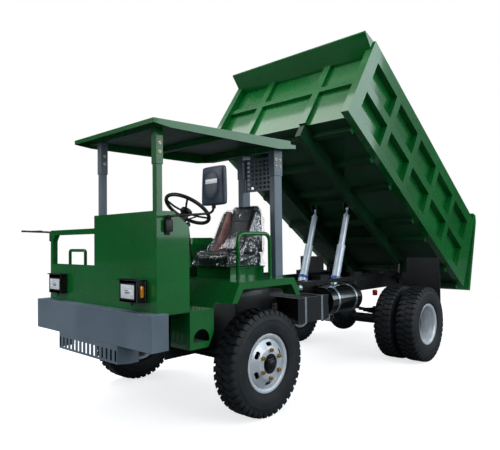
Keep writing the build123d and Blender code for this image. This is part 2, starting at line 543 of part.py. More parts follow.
def canopy_z(y):
    """Height of the canopy's top at y."""
    return CANOPY_FRONT_Z + (y - CANOPY_Y[0]) * CANOPY_RISE


with BuildPart() as canopy:
    y0, y1 = CANOPY_Y
    side_plate([(y0, canopy_z(y0) - 32), (y0 + 150, CANOPY_SKIRT_Z), (y1 - 230, CANOPY_SKIRT_Z),
                (y1, canopy_z(y1) - 60), (y1, canopy_z(y1) - 28), (y1 - 75, canopy_z(y1) - 30),
                (y1 - 75, canopy_z(y1)), (y0, canopy_z(y0))], CANOPY_X)
    side_plate([(y0 + 4, canopy_z(y0) - 90), (y1 - 4, canopy_z(y1) - 90), (y1 - 4, canopy_z(y1) - 34),
                (y1 - 79, canopy_z(y1) - 34), (y1 - 79, canopy_z(y1) - 4), (y0 + 4, canopy_z(y0) - 4)],
               (CANOPY_X[0] + 4, CANOPY_X[1] - 4), Mode.SUBTRACT)
    for y in (FRONT_POST_Y, FRONT_AXLE_Y - 300, REAR_POST_Y):
        block((CANOPY_X[0] + 4, CANOPY_X[1] - 4), (y - 25, y + 25), (POST_TOP_Z, canopy_z(y) - 4))
keep(canopy.part, "canopy")

# Headlamps on the lower panel, each box with (box x, front y, box z, lens x, lens z)
LAMPS = (
    ((-728, -502), FRONT_AXLE_Y - 1020, (985, 1151), (-700, -517), (1017, 1113)),
    ((472, 700), FRONT_AXLE_Y - 1050, (992, 1153), (496, 671), (1019, 1122)),
)
LENS_DEPTH = 24
with BuildPart() as lamp_housings:
    for box_x, front_y, box_z, lens_x, lens_z in LAMPS:
        block(box_x, (front_y, PANEL_Y), box_z)
        block(lens_x, (front_y - 1, front_y + LENS_DEPTH + 8), lens_z, Mode.SUBTRACT)
        block((box_x[0] - 5, box_x[1] + 5), (front_y - 15, front_y + 20), (box_z[1], box_z[1] + 5))
keep(lamp_housings.part, "lamp_housings")

with BuildPart() as lamp_lenses:
    for box_x, front_y, box_z, lens_x, lens_z in LAMPS:
        block(lens_x, (front_y + 8, front_y + LENS_DEPTH + 8), lens_z)
keep(lamp_lenses.part, "lamp_lenses")

with BuildPart() as indicators:
    lamp_out_x, lamp_front_y = LAMPS[1][0][1], LAMPS[1][1]
    block((lamp_out_x, lamp_out_x + 7), (lamp_front_y + 22, lamp_front_y + 74), (1030, 1108))
keep(indicators.part, "indicators")

# Mirrors: head on the left, bare arm on the right, each on its clamp block
with BuildPart() as mirrors:
    block((CAB_OUT_X, CAB_OUT_X + 36), (FRONT_AXLE_Y - 905, FRONT_AXLE_Y - 845), (1492, 1580))
    pipe([(CAB_OUT_X + 20, FRONT_AXLE_Y - 875, 1570), (CAB_OUT_X + 20, FRONT_AXLE_Y - 875, 1600),
          (1180, FRONT_AXLE_Y - 800, 1606), (1215, FRONT_AXLE_Y - 790, 1690)], 14, 8)
    block((1105, 1335), (FRONT_AXLE_Y - 815, FRONT_AXLE_Y - 765), (1660, 1925))
    block((-CAB_OUT_X - 36, -CAB_OUT_X), (PANEL_Y, PANEL_Y + 50), (1440, 1530))
    rod((-CAB_OUT_X - 18, PANEL_Y + 25, 1520), (-1275, FRONT_AXLE_Y - 1040, 1545), 8)
keep(mirrors.part, "mirrors")

# Steering column with a stub shaft, and the steering wheel that turns on it
TILT = radians(WHEEL_TILT)
wheel_centre = Vector(*STEERING_WHEEL)
column_dir = Vector(0, sin(TILT), cos(TILT))
column_foot = wheel_centre - column_dir * ((STEERING_WHEEL[2] - CAB_FLOOR_Z - 22) / cos(TILT))
with BuildPart() as steering_column:
    rod(tuple(column_foot), tuple(wheel_centre - column_dir * 120), 28)
    rod(tuple(wheel_centre - column_dir * 130), tuple(wheel_centre), 9)
    block((WELL_IN_X - 62, WELL_IN_X - 2), (column_foot.Y - 45, column_foot.Y + 45), (CAB_FLOOR_Z + 6, CAB_FLOOR_Z + 30))
keep(steering_column.part, "steering_column")

with BuildPart(Plane(origin=STEERING_WHEEL, x_dir=(1, 0, 0), z_dir=column_dir)) as steering_wheel:
    Torus(STEERING_WHEEL_R - 14, 14)
    with Locations((0, 0, -22)):
        Cylinder(42, 50)
    with Locations((0, 0, -6)):
        with PolarLocations(STEERING_WHEEL_R / 2, 3, start_angle=90):
            Box(STEERING_WHEEL_R - 24, 26, 10)
    with Locations((0, 0, -40)):
        Cylinder(9 + RUN_FIT, 90, mode=Mode.SUBTRACT)
keep(steering_wheel.part, "steering_wheel")

# Tanks on the left rail: a square box and a round-topped drum, with their straps
TANK_X = (RAIL_OUT_X, 715)
BOX_TANK_Y = (REAR_AXLE_Y - 1872, REAR_AXLE_Y - 1362)
BOX_TANK_Z = (620, 868)
DRUM_R = 148
DRUM_C = (603, 785)
DRUM_Y = (REAR_AXLE_Y - 1327, REAR_AXLE_Y - 757)
with BuildPart() as tanks:
    block(TANK_X, BOX_TANK_Y, BOX_TANK_Z)
    rod((DRUM_C[0], DRUM_Y[0], DRUM_C[1]), (DRUM_C[0], DRUM_Y[1], DRUM_C[1]), DRUM_R)
    for y in (DRUM_Y[0] + 120, DRUM_Y[1] - 120):
        block((RAIL_OUT_X, DRUM_C[0] - 100), (y - 30, y + 30), (RAIL_BOTTOM_Z + 5, RAIL_TOP_Z - 40))
keep(tanks.part, "tanks")

with BuildPart() as tank_straps:
    for y in (BOX_TANK_Y[0] + 120, BOX_TANK_Y[1] - 120):
        block((RAIL_OUT_X, TANK_X[1] + 3), (y - 15, y + 15), (BOX_TANK_Z[0] - 3, BOX_TANK_Z[1] + 3))
        block((RAIL_OUT_X - 1, TANK_X[1]), (y - 16, y + 16), BOX_TANK_Z, Mode.SUBTRACT)
    for y in (DRUM_Y[0] + 120, DRUM_Y[1] - 120):
        rod((DRUM_C[0], y - 15, DRUM_C[1]), (DRUM_C[0], y + 15, DRUM_C[1]), DRUM_R + 3)
        rod((DRUM_C[0], y - 16, DRUM_C[1]), (DRUM_C[0], y + 16, DRUM_C[1]), DRUM_R, Mode.SUBTRACT)
        block((RAIL_OUT_X, DRUM_C[0] - 99), (y - 31, y + 31), (RAIL_BOTTOM_Z + 4, RAIL_TOP_Z - 39), Mode.SUBTRACT)
keep(tank_straps.part, "tank_straps")

# Mud flaps behind the rear wheels, hung on a bar from each rail
FLAP_Y = REAR_AXLE_Y + 513
with BuildPart() as mud_flaps:
    block((RAIL_OUT_X, 1060), (FLAP_Y + 8, FLAP_Y + 48), (900, 940))
    block((660, 1090), (FLAP_Y, FLAP_Y + 8), (900, BED_FLOOR_Z - 20))
    block((600, 1100), (FLAP_Y - 10, FLAP_Y), (560, 985))
    mirror(about=Plane.YZ)
keep(mud_flaps.part, "mud_flaps")


# Steering knuckles: a fork on the kingpin, the wheel's spindle and the steering arm
FORK_GAP = 0.5


def knuckle(side):
    """One knuckle, side 1 for the left and -1 for the right."""
    x, y, z = side * KINGPIN_X, FRONT_AXLE_Y, WHEEL_Z
    inner, outer = BOSS_HALF_H + FORK_GAP, BOSS_HALF_H + 24
    with BuildPart() as part:
        rod((x, y, z - outer), (x, y, z + outer), KINGPIN_R)
        for low, high in ((-outer, -inner), (inner, outer)):
            rod((x, y, z + low), (x, y, z + high), BOSS_R - 2)
            block(sorted((x, x + side * 70)), (y - 30, y + 30), (z + low, z + high))
        block(sorted((x + side * 48, x + side * 70)), (y - 40, y + 40), (z - outer, z + outer))
        rod((x + side * 60, y, z), (side * (FRONT_WHEEL_X + 118), y, z), SPINDLE_R)
        arm_z = z - outer
        arm = [(x + side * 20, y + 20), (x - side * 20, y + 20),
               (side * STEER_ARM_X - side * 20, y + STEER_ARM_Y), (side * STEER_ARM_X + side * 20, y + STEER_ARM_Y)]
        with BuildSketch(Plane.XY.offset(arm_z)) as outline:
            Polygon(*arm, align=None)
            with Locations((side * STEER_ARM_X, y + STEER_ARM_Y)):
                Circle(22)
        extrude(outline.sketch, amount=18)
        rod((side * STEER_ARM_X, y + STEER_ARM_Y, arm_z - 34), (side * STEER_ARM_X, y + STEER_ARM_Y, arm_z), 9)
    return part.part


keep(knuckle(1), "knuckle_left")
keep(knuckle(-1), "knuckle_right")

TIE_Z = WHEEL_Z - BOSS_HALF_H - 24 - 20
TIE_EYE_R = 19
with BuildPart() as tie_rod:
    rod((-STEER_ARM_X + 15, FRONT_AXLE_Y + STEER_ARM_Y, TIE_Z), (STEER_ARM_X - 15, FRONT_AXLE_Y + STEER_ARM_Y, TIE_Z),
        12)
    for side in (-1, 1):
        x = side * STEER_ARM_X
        rod((x, FRONT_AXLE_Y + STEER_ARM_Y, TIE_Z - 14), (x, FRONT_AXLE_Y + STEER_ARM_Y, TIE_Z + 14), TIE_EYE_R)
        rod((x, FRONT_AXLE_Y + STEER_ARM_Y, TIE_Z - 30), (x, FRONT_AXLE_Y + STEER_ARM_Y, TIE_Z + 30),
            9 + RUN_FIT, Mode.SUBTRACT)
keep(tie_rod.part, "tie_rod")


# Tyres and wheels, each turned about its axle
BEAD = 0.3
CASING_R = TYRE_R - LUG_H
TYRE_PROFILE = [(-84 + BEAD, 212 + BEAD), (-88 + BEAD, RIM_FLANGE_R + BEAD), (-97, RIM_FLANGE_R + BEAD),
                (-106, 250), (-TYRE_W / 2, 300), (-116, 345), (-108, 385), (-TREAD_W / 2 + 2, CASING_R - 8),
                (-TREAD_W / 2 + 30, CASING_R)]


def turn(points, x, y, side=1):
    """Revolves an outline of (outward, radius) points about the axle through x, y."""
    plane = Plane(origin=(x, y, WHEEL_Z), x_dir=(side, 0, 0), z_dir=(0, -side, 0))
    with BuildSketch(plane) as outline:
        Polygon(*points, align=None)
    revolve(outline.sketch, axis=Axis((x, y, WHEEL_Z), (1, 0, 0)))


# One lug from above, as (outward, round the tyre); its corners reach the tyre's radius
LUG_END = TREAD_W / 2 + 3
LUG_HALF = 22
LUG = [(8, -12), (LUG_END, -LUG_HALF), (LUG_END, 12), (8, 20)]
LUG_TOP = sqrt(TYRE_R ** 2 - LUG_HALF ** 2)


def lugged_tyre():
    """A casing and its two rows of lugs, half a pitch apart, about the origin's wheel centre."""
    with BuildPart() as lug:
        with BuildSketch(Plane.XY.offset(WHEEL_Z + CASING_R - LUG_H)) as foot:
            Polygon(*LUG, align=None)
        extrude(foot.sketch, amount=LUG_TOP - CASING_R + LUG_H)
    axle = Axis((0, 0, WHEEL_Z), (1, 0, 0))
    outer, inner = lug.part, lug.part.rotate(Axis.Z, 180)
    with BuildPart() as part:
        turn(TYRE_PROFILE + [(-a, r) for a, r in reversed(TYRE_PROFILE)], 0, 0)
        add([row.rotate(axle, 360 * (k + shift) / LUGS) for k in range(LUGS)
             for row, shift in ((outer, 0), (inner, 0.5))])
    return part.part


TYRE = lugged_tyre()


def tyre(x, y):
    """A tyre with its middle at x, y."""
    add(TYRE.moved(Location((x, y, 0))))


RIM_OUTER = [(-95, RIM_FLANGE_R), (-88, RIM_FLANGE_R), (-84, 212), (-60, RIM_SEAT_R - 4), (60, RIM_SEAT_R - 4),
             (84, 212), (88, RIM_FLANGE_R), (95, RIM_FLANGE_R)]
RIM_INNER = [(95, 206), (64, 192), (-64, 192), (-95, 206)]
FRONT_DISC = [(-20, 193), (10, 190), (38, 160), (52, 140), (52, 60), (42, 60), (42, 136), (28, 156), (0, 180),
              (-20, 180)]
FRONT_HUB = [(-62, SPINDLE_R + RUN_FIT), (-62, 92), (-20, 92), (0, 88), (53, 88), (53, 78), (98, 70), (98, 0),
             (92, 0), (92, SPINDLE_R + 12), (30, SPINDLE_R + RUN_FIT)]


def hand_holes(face, reach):
    """Oval holes round the disc, cut both ways from its face."""
    with BuildSketch(face) as ovals:
        with PolarLocations(HAND_HOLE_R, HAND_HOLES, start_angle=STUD_TURN + 180 / STUDS):
            SlotOverall(*HAND_HOLE, rotation=90)
    extrude(ovals.sketch, amount=reach, both=True, mode=Mode.SUBTRACT)


def front_wheel(side):
    """Rim, dished disc, hub with its cap, and studs."""
    x, y = side * FRONT_WHEEL_X, FRONT_AXLE_Y
    with BuildPart() as part:
        turn(RIM_OUTER + RIM_INNER, x, y, side)
        turn(FRONT_DISC, x, y, side)
        turn([(-62, SPINDLE_R + RUN_FIT), (-62, 150), (-36, 150), (-36, 92), (53, 92), (53, 72), (112, 66),
              (120, 50), (120, 0), (119, 0), (119, SPINDLE_R + RUN_FIT)], x, y, side)
        plane = Plane(origin=(x + side * 51, y, WHEEL_Z), x_dir=(0, 1, 0), z_dir=(side, 0, 0))
        with BuildSketch(plane) as nuts:
            with PolarLocations(STUD_CIRCLE_R, STUDS, start_angle=STUD_TURN):
                RegularPolygon(17, 6)
        extrude(nuts.sketch, amount=26)
        hand_holes(plane, 110)
    return part.part


def rear_wheel(side):
    """Two rims back to back on one hub."""
    y = REAR_AXLE_Y
    with BuildPart() as part:
        for x, out in ((REAR_OUTER_X, -1), (REAR_INNER_X, 1)):
            turn(RIM_OUTER + RIM_INNER, side * x, y, side)
            face = (DUAL_FACE_X - x) * out
            # the disc runs from the rim to the face between the two wheels
            turn([(out * -40, 193), (out * (face - 30), 170), (out * face, 140), (out * face, 60),
                  (out * (face - 10), 60), (out * (face - 10), 136), (out * (face - 40), 160), (out * -40, 183)],
                 side * x, y, side)
        hub = side * DUAL_FACE_X
        turn([(-150, 46), (-150, 165), (-60, 165), (-40, 92), (120, 92), (132, 60), (132, 0), (62, 0), (62, 46)],
             hub, y, side)
        plane = Plane(origin=(hub, y, WHEEL_Z), x_dir=(0, 1, 0), z_dir=(side, 0, 0))
        with BuildSketch(plane) as nuts:
            with PolarLocations(STUD_CIRCLE_R, STUDS, start_angle=STUD_TURN):
                RegularPolygon(17, 6)
        extrude(nuts.sketch, amount=36)
        hand_holes(plane, 120)
    return part.part


for side, name in ((1, "left"), (-1, "right")):
    with BuildPart() as front_tyre:
        tyre(side * FRONT_WHEEL_X, FRONT_AXLE_Y)
    keep(front_tyre.part, f"front_{name}_tyre")
    with BuildPart() as rear_tyres:
        tyre(side * REAR_OUTER_X, REAR_AXLE_Y)
        tyre(side * REAR_INNER_X, REAR_AXLE_Y)
    keep(rear_tyres.part, f"rear_{name}_tyres")
    keep(front_wheel(side), f"front_{name}_wheel")
    keep(rear_wheel(side), f"rear_{name}_wheels")

# Bed: side walls with two rows of recesses, floor, headboard with its sloping lip, main
# beams and cross ribs, each a plate of its own against the next; drawn lowered, then
# turned up about the hinge
BED_FRONT_S = BED_LENGTH
HEAD_S = BED_LENGTH - 90
WALL_IN_X = BED_HALF_W - WALL_T
RIB_PARTS = (0.0114, 0.137, 0.346, 0.463, 0.654, 0.789, 0.923)
RIB_W, RIB_H = 60, 60
MEMBER_H = 34


def bed_side(points, x, mode=Mode.ADD):
    """An outline of (s, h) points on the bed, made thick between the two x values."""
    side_plate([bed_point(s, h) for s, h in points], x, mode)


with BuildPart() as bed_wall:
    bed_side([(0, 0), (BED_LENGTH, 0), (BED_LENGTH, WALL_H), (REAR_LEAN, WALL_H)], (WALL_IN_X, BED_HALF_W))
    for k in range(BAYS):
        s = (BAY_FIRST_S + k * BAY_PITCH, BAY_FIRST_S + k * BAY_PITCH + BAY_LENGTH)
        for low, high in (BAY_LOW, BAY_HIGH):
            bed_side([(s[0], low), (s[1], low), (s[1], high), (s[0], high)],
                     (WALL_IN_X + SKIN_T, BED_HALF_W + 1), Mode.SUBTRACT)
    mirror(about=Plane.YZ)

with BuildPart() as bed_plate:
    bed_side([(2, 0), (HEAD_S, 0), (HEAD_S, FLOOR_T), (2, FLOOR_T)], (-WALL_IN_X, WALL_IN_X))

with BuildPart() as headboard:
    bed_side([(HEAD_S, 0), (HEAD_S + SKIN_T, 0), (HEAD_S + SKIN_T, WALL_H), (HEAD_S, WALL_H)],
             (-WALL_IN_X, WALL_IN_X))
    bed_side([(HEAD_S + 2, 470), (HEAD_S + 50, 470), (HEAD_S + 50, 540), (HEAD_S + 2, 540)],
             (-WALL_IN_X, WALL_IN_X))
    for x in (-420, 420):
        bed_side([(HEAD_S + 2, 0), (HEAD_S + 50, 0), (HEAD_S + 50, 930), (HEAD_S + 2, 930)], (x - 45, x + 45))
    # lip above it, closed by a gusset at each end where it stands proud of the walls
    bed_side([(HEAD_S, 905), (HEAD_S + 40, 905), (LIP_S, 985), (LIP_S, 1005), (LIP_S - 6, 1005), (HEAD_S, 925)],
             (-LIP_HALF_W, LIP_HALF_W))
    for side in (-1, 1):
        bed_side([(HEAD_S, 905), (LIP_S, 985), (LIP_S - 30, 1005), (HEAD_S + 60, WALL_H), (HEAD_S, WALL_H)],
                 sorted((side * (LIP_HALF_W - 6), side * LIP_HALF_W)))
        bed_side([(HEAD_S - 1, 850), (BED_LENGTH, 850), (BED_LENGTH, WALL_H + 1), (HEAD_S - 1, WALL_H + 1)],
                 sorted((side * WALL_IN_X, side * (LIP_HALF_W + 1))), Mode.SUBTRACT)

with BuildPart() as bed_beams:
    bed_side([(60, 0), (BED_LENGTH - 60, 0), (BED_LENGTH - 60, -BEAM_H), (260, -BEAM_H), (60, -90)], BEAM_X)
    rod((BEAM_X[0] - 30, HINGE_Y, HINGE_Z), (BEAM_X[1] + 10, HINGE_Y, HINGE_Z), HINGE_PIN_R + RUN_FIT, Mode.SUBTRACT)
    mirror(about=Plane.YZ)

with BuildPart() as bed_ribs:
    for part in RIB_PARTS:
        s = part * BED_LENGTH
        for x in ((-WALL_IN_X - 20, -BEAM_X[1]), (-BEAM_X[0], BEAM_X[0]), (BEAM_X[1], WALL_IN_X + 20)):
            bed_side([(s, 0), (s + RIB_W, 0), (s + RIB_W, -RIB_H), (s, -RIB_H)], x)

# cross member and ears for the hoist's rod eyes
with BuildPart() as hoist_member:
    bed_side([(HOIST_EYE_S - 110, 0), (HOIST_EYE_S + 110, 0), (HOIST_EYE_S + 110, -MEMBER_H),
              (HOIST_EYE_S - 110, -MEMBER_H)], (-BEAM_X[0], BEAM_X[0]))

with BuildPart() as hoist_ears:
    for x in (HOIST_X - 42, HOIST_X + 32):
        bed_side([(HOIST_EYE_S - 80, -MEMBER_H), (HOIST_EYE_S + 80, -MEMBER_H), (HOIST_EYE_S + 30, HOIST_EYE_H - 34),
                  (HOIST_EYE_S - 30, HOIST_EYE_H - 34)], (x, x + 10))
    mirror(about=Plane.YZ)

# posts and pins on which the tailgate hangs
pivot = bed_point(GATE_PIVOT_S, GATE_PIVOT_H)
with BuildPart() as gate_posts:
    bed_side([(GATE_PIVOT_S - 30, WALL_H), (GATE_PIVOT_S + 110, WALL_H), (GATE_PIVOT_S + 30, GATE_PIVOT_H + 26),
              (GATE_PIVOT_S - 30, GATE_PIVOT_H + 26)], (BED_HALF_W - 74, BED_HALF_W - 58))
    rod((BED_HALF_W - 66, *pivot), (BED_HALF_W - 6, *pivot), GATE_PIN_R)
    mirror(about=Plane.YZ)

BED_PLATES = (bed_wall, bed_plate, headboard, bed_beams, bed_ribs, hoist_member, hoist_ears, gate_posts)
bed = Compound([solid for plates in BED_PLATES for solid in plates.part.solids()])
keep(raised(bed), "bed")

# Tailgate: a framed panel hung from arms over the tops of the side walls
LEAN = atan2(REAR_LEAN, WALL_H)
GATE_HALF_W = BED_HALF_W
with BuildPart() as tailgate:
    def gate_point(up, back):
        """A place on the gate: up along it from the floor, back from the wall ends."""
        return (up * sin(LEAN) - (GATE_GAP + back) * cos(LEAN), up * cos(LEAN) + (GATE_GAP + back) * sin(LEAN))

    bed_side([gate_point(20, 0), gate_point(WALL_H, 0), gate_point(WALL_H, GATE_T), gate_point(20, GATE_T)],
             (0, GATE_HALF_W))
    for up in ((90, 500), (560, 970)):
        for x in ((40, BED_HALF_W / 2 - 30), (BED_HALF_W / 2 + 30, BED_HALF_W - 60)):
            bed_side([gate_point(up[0], 10), gate_point(up[1], 10), gate_point(up[1], GATE_T + 1),
                      gate_point(up[0], GATE_T + 1)], x, Mode.SUBTRACT)
    bed_side([gate_point(900, GATE_T - 1), gate_point(900, GATE_T + 20), gate_point(WALL_H + 40, GATE_T + 20),
              gate_point(WALL_H + PIVOT_RISE + 45, GATE_T - 20), (GATE_PIVOT_S + 10, GATE_PIVOT_H + 34),
              (GATE_PIVOT_S + 34, GATE_PIVOT_H), (GATE_PIVOT_S, GATE_PIVOT_H - 30),
              gate_point(WALL_H + 20, -20), gate_point(WALL_H, GATE_T - 1)],
             (BED_HALF_W - 52, BED_HALF_W - 10))
    rod((BED_HALF_W - 80, *pivot), (BED_HALF_W + 10, *pivot), GATE_PIN_R + RUN_FIT, Mode.SUBTRACT)
    mirror(about=Plane.YZ)
keep(raised(tailgate.part.rotate(GATE_PIVOT, GATE_OPEN)), "tailgate")

# Hoist cylinders along the line from the base pin to the eye on the raised bed
tilt = radians(BED_TILT)
eye_y, eye_z = bed_point(HOIST_EYE_S, HOIST_EYE_H)
back, up = eye_y - HINGE_Y, eye_z - HINGE_Z
EYE_Y = HINGE_Y + back * cos(tilt) + up * sin(tilt)
EYE_Z = HINGE_Z - back * sin(tilt) + up * cos(tilt)
HOIST_LENGTH = hypot(EYE_Y - HOIST_BASE_Y, EYE_Z - HOIST_BASE_Z)
HOIST_DIR = Vector(0, EYE_Y - HOIST_BASE_Y, EYE_Z - HOIST_BASE_Z).normalized()


def along(x, distance):
    """A point on the cylinder's centre line."""
    return (x, HOIST_BASE_Y + HOIST_DIR.Y * distance, HOIST_BASE_Z + HOIST_DIR.Z * distance)


def tube(x, ends, outer, inner, floor=0):
    """A tube on the cylinder's line, closed by a floor of the given thickness."""
    rod(along(x, ends[0]), along(x, ends[1]), outer)
    rod(along(x, ends[0] + floor), along(x, ends[1] + 1), inner, Mode.SUBTRACT)


for side, name in ((1, "left"), (-1, "right")):
    x = side * HOIST_X
    with BuildPart() as barrel:
        tube(x, (30, BARREL_TOP), BARREL_R, STAGE1_R + SLIDE_GAP, 12)
        rod((x - 40, HOIST_BASE_Y, HOIST_BASE_Z), (x + 40, HOIST_BASE_Y, HOIST_BASE_Z), 40)
        rod((x - 50, HOIST_BASE_Y, HOIST_BASE_Z), (x + 50, HOIST_BASE_Y, HOIST_BASE_Z), BASE_PIN_R + RUN_FIT,
            Mode.SUBTRACT)
    keep(barrel.part, f"hoist_barrel_{name}")
    with BuildPart() as stage:
        tube(x, STAGE1_ENDS, STAGE1_R, STAGE2_R + SLIDE_GAP)
    keep(stage.part, f"hoist_outer_stage_{name}")
    with BuildPart() as stage:
        tube(x, STAGE2_ENDS, STAGE2_R, ROD_R + SLIDE_GAP)
    keep(stage.part, f"hoist_inner_stage_{name}")
    with BuildPart() as hoist_rod:
        rod(along(x, ROD_BOTTOM), along(x, HOIST_LENGTH - 60), ROD_R)
        rod(along(x, HOIST_LENGTH - 62), along(x, HOIST_LENGTH), 13)
        rod((x - 20, EYE_Y, EYE_Z), (x + 20, EYE_Y, EYE_Z), 18)
    keep(hoist_rod.part, f"hoist_rod_{name}")
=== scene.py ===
# %% [markdown]
# # A mining dump truck with its bed raised
# The truck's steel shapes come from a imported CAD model. This lesson loads them, sets up a
# camera and soft light, makes the paints and rubbers, and then models the parts whose fine
# shapes the CAD model leaves out: tyre lugs, wheels, the wrapped seat, bolts and hoses.
# Everything is in metres. The truck faces -Y, its left side is +X, and +Z is up.

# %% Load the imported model
import json
from math import atan2, cos, degrees, hypot, pi, radians, sin

import bmesh
import bpy
from mathutils import Matrix, Vector

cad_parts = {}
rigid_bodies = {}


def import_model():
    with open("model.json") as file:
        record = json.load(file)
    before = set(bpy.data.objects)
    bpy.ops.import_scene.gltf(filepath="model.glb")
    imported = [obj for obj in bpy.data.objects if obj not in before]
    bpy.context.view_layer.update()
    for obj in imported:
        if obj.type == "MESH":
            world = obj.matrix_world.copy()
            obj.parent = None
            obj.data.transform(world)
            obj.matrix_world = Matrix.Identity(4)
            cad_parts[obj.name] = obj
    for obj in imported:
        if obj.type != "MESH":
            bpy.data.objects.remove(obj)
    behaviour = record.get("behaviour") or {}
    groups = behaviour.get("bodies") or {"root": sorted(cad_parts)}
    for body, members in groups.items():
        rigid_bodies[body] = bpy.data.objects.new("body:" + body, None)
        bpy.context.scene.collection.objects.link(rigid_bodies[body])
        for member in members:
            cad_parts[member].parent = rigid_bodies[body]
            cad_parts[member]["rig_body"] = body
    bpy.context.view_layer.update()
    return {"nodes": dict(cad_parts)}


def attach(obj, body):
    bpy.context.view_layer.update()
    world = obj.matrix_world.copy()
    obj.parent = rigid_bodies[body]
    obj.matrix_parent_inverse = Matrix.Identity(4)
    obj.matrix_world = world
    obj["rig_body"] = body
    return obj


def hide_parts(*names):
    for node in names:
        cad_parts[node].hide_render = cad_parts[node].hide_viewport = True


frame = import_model()
nodes = frame["nodes"]

# %% [markdown]
# ## Camera
# The photograph was taken from in front and to the left, at about eye height and close by,
# so near things look large. A wide lens at a measured place gives the same slant lines; a
# long lens from further off would flatten the truck.

# %% Place the camera
bpy.ops.object.camera_add(location=(3.6827, -4.8914, 1.4149))
camera = bpy.context.object
camera.name = "photo_camera"
facing = (Matrix.Rotation(0.757, 3, "Z") @ Matrix.Rotation(pi / 2 + 0.0336, 3, "X")
          @ Matrix.Rotation(-0.0121, 3, "Z"))
camera.rotation_euler = facing.to_euler()
camera.data.sensor_width = 36
camera.data.lens = 36
bpy.context.scene.camera = camera
print("camera at", [round(v, 2) for v in camera.location], "lens", camera.data.lens)

# %% [markdown]
# ## Floor and light
# Gloss paint shows what is around it, so it needs large soft lights: a small lamp would
# leave hard white spots. One wide panel overhead acts as the bright part of the sky and
# weaker ones light the front and the left side. The sky behind the truck is white, but what
# it throws on the truck is dim and darkest near the horizon, because a white sky mirrored
# in deep green turns it grey. The overhead panel ends where the headboard's upper half no
# longer mirrors it, so that the lower half is pale and the upper half stays deep green.
# Plain display colours keep the paint as saturated as the photograph shows it.

# %% Lay the floor and hang the lights
bpy.context.scene.view_settings.view_transform = "Standard"
bpy.ops.mesh.primitive_plane_add(size=60, location=(0, 0, 0))
floor = bpy.context.object
floor.name = "floor"

sky = bpy.data.worlds.new("pale_sky")
bpy.context.scene.world = sky
sky.use_nodes = True
dim_sky = sky.node_tree.nodes["Background"]
dim_sky.inputs["Color"].default_value = (0.80, 0.90, 1.0, 1)
way = sky.node_tree.nodes.new("ShaderNodeTexCoord")
height = sky.node_tree.nodes.new("ShaderNodeSeparateXYZ")
rising = sky.node_tree.nodes.new("ShaderNodeMapRange")
rising.inputs["From Min"].default_value, rising.inputs["From Max"].default_value = 0.02, 0.55
rising.inputs["To Min"].default_value, rising.inputs["To Max"].default_value = 0.09, 0.80
sky.node_tree.links.new(way.outputs["Generated"], height.inputs["Vector"])
sky.node_tree.links.new(height.outputs["Z"], rising.inputs["Value"])
mirrored = sky.node_tree.nodes.new("ShaderNodeMapRange")
mirrored.inputs["To Min"].default_value, mirrored.inputs["To Max"].default_value = 1.0, 0.12
weaker = sky.node_tree.nodes.new("ShaderNodeMath")
weaker.operation = "MULTIPLY"
white_sky = sky.node_tree.nodes.new("ShaderNodeBackground")
white_sky.inputs["Color"].default_value = (1.0, 1.0, 1.0, 1)
seen = sky.node_tree.nodes.new("ShaderNodeLightPath")
either = sky.node_tree.nodes.new("ShaderNodeMixShader")
sky.node_tree.links.new(seen.outputs["Is Glossy Ray"], mirrored.inputs["Value"])
sky.node_tree.links.new(rising.outputs["Result"], weaker.inputs[0])
sky.node_tree.links.new(mirrored.outputs["Result"], weaker.inputs[1])
sky.node_tree.links.new(weaker.outputs["Value"], dim_sky.inputs["Strength"])
sky.node_tree.links.new(seen.outputs["Is Camera Ray"], either.inputs["Fac"])
sky.node_tree.links.new(dim_sky.outputs["Background"], either.inputs[1])
sky.node_tree.links.new(white_sky.outputs["Background"], either.inputs[2])
sky.node_tree.links.new(either.outputs["Shader"], sky.node_tree.nodes["World Output"].inputs["Surface"])


def soft_light(name, place, target, size, power):
    """A square light panel at a place, turned to face a target."""
    bpy.ops.object.light_add(type="AREA", location=place)
    panel = bpy.context.object
    panel.name = name
    panel.rotation_euler = (Vector(target) - Vector(place)).to_track_quat("-Z", "Y").to_euler()
    panel.data.size = size
    panel.data.energy = power
    return panel


overhead = soft_light("sky_panel", (-2.1, -3.0, 8.0), (-2.1, -3.0, 0), 11.0, 520)
overhead.data.shape, overhead.data.size_y = "RECTANGLE", 4.4
soft_light("left_panel", (8.0, -1.0, 4.0), (0, 0.4, 1.2), 4.5, 250)
rear_left = soft_light("rear_left_panel", (9.5, 8.0, 5.2), (0, 0.5, 1.5), 7.5, 520)
rear_left.data.color = (0.84, 0.96, 1.0)
soft_light("front_panel", (-3.0, -8.5, 4.0), (0, -1.5, 1.2), 4.5, 210)

# %% [markdown]
# ## Paints, metals and rubber
# Each finish is mixed from noise in the object's own coordinates, so a pattern keeps its
# real size whatever the piece. Slow noise shifts the tone a little from place to place,
# fine noise roughens the surface, and a clear coat gives fresh paint its second, sharper
# reflection. Plain numbers are set on the shader itself so that they survive an export.


# %% A helper that mixes a finish
def colour(*levels):
    """A colour given as 0-255 levels on screen, in the linear light that shaders use."""
    return tuple(((v / 255) / 12.92 if v <= 10 else (((v / 255) + 0.055) / 1.055) ** 2.4) for v in levels) + (1,)


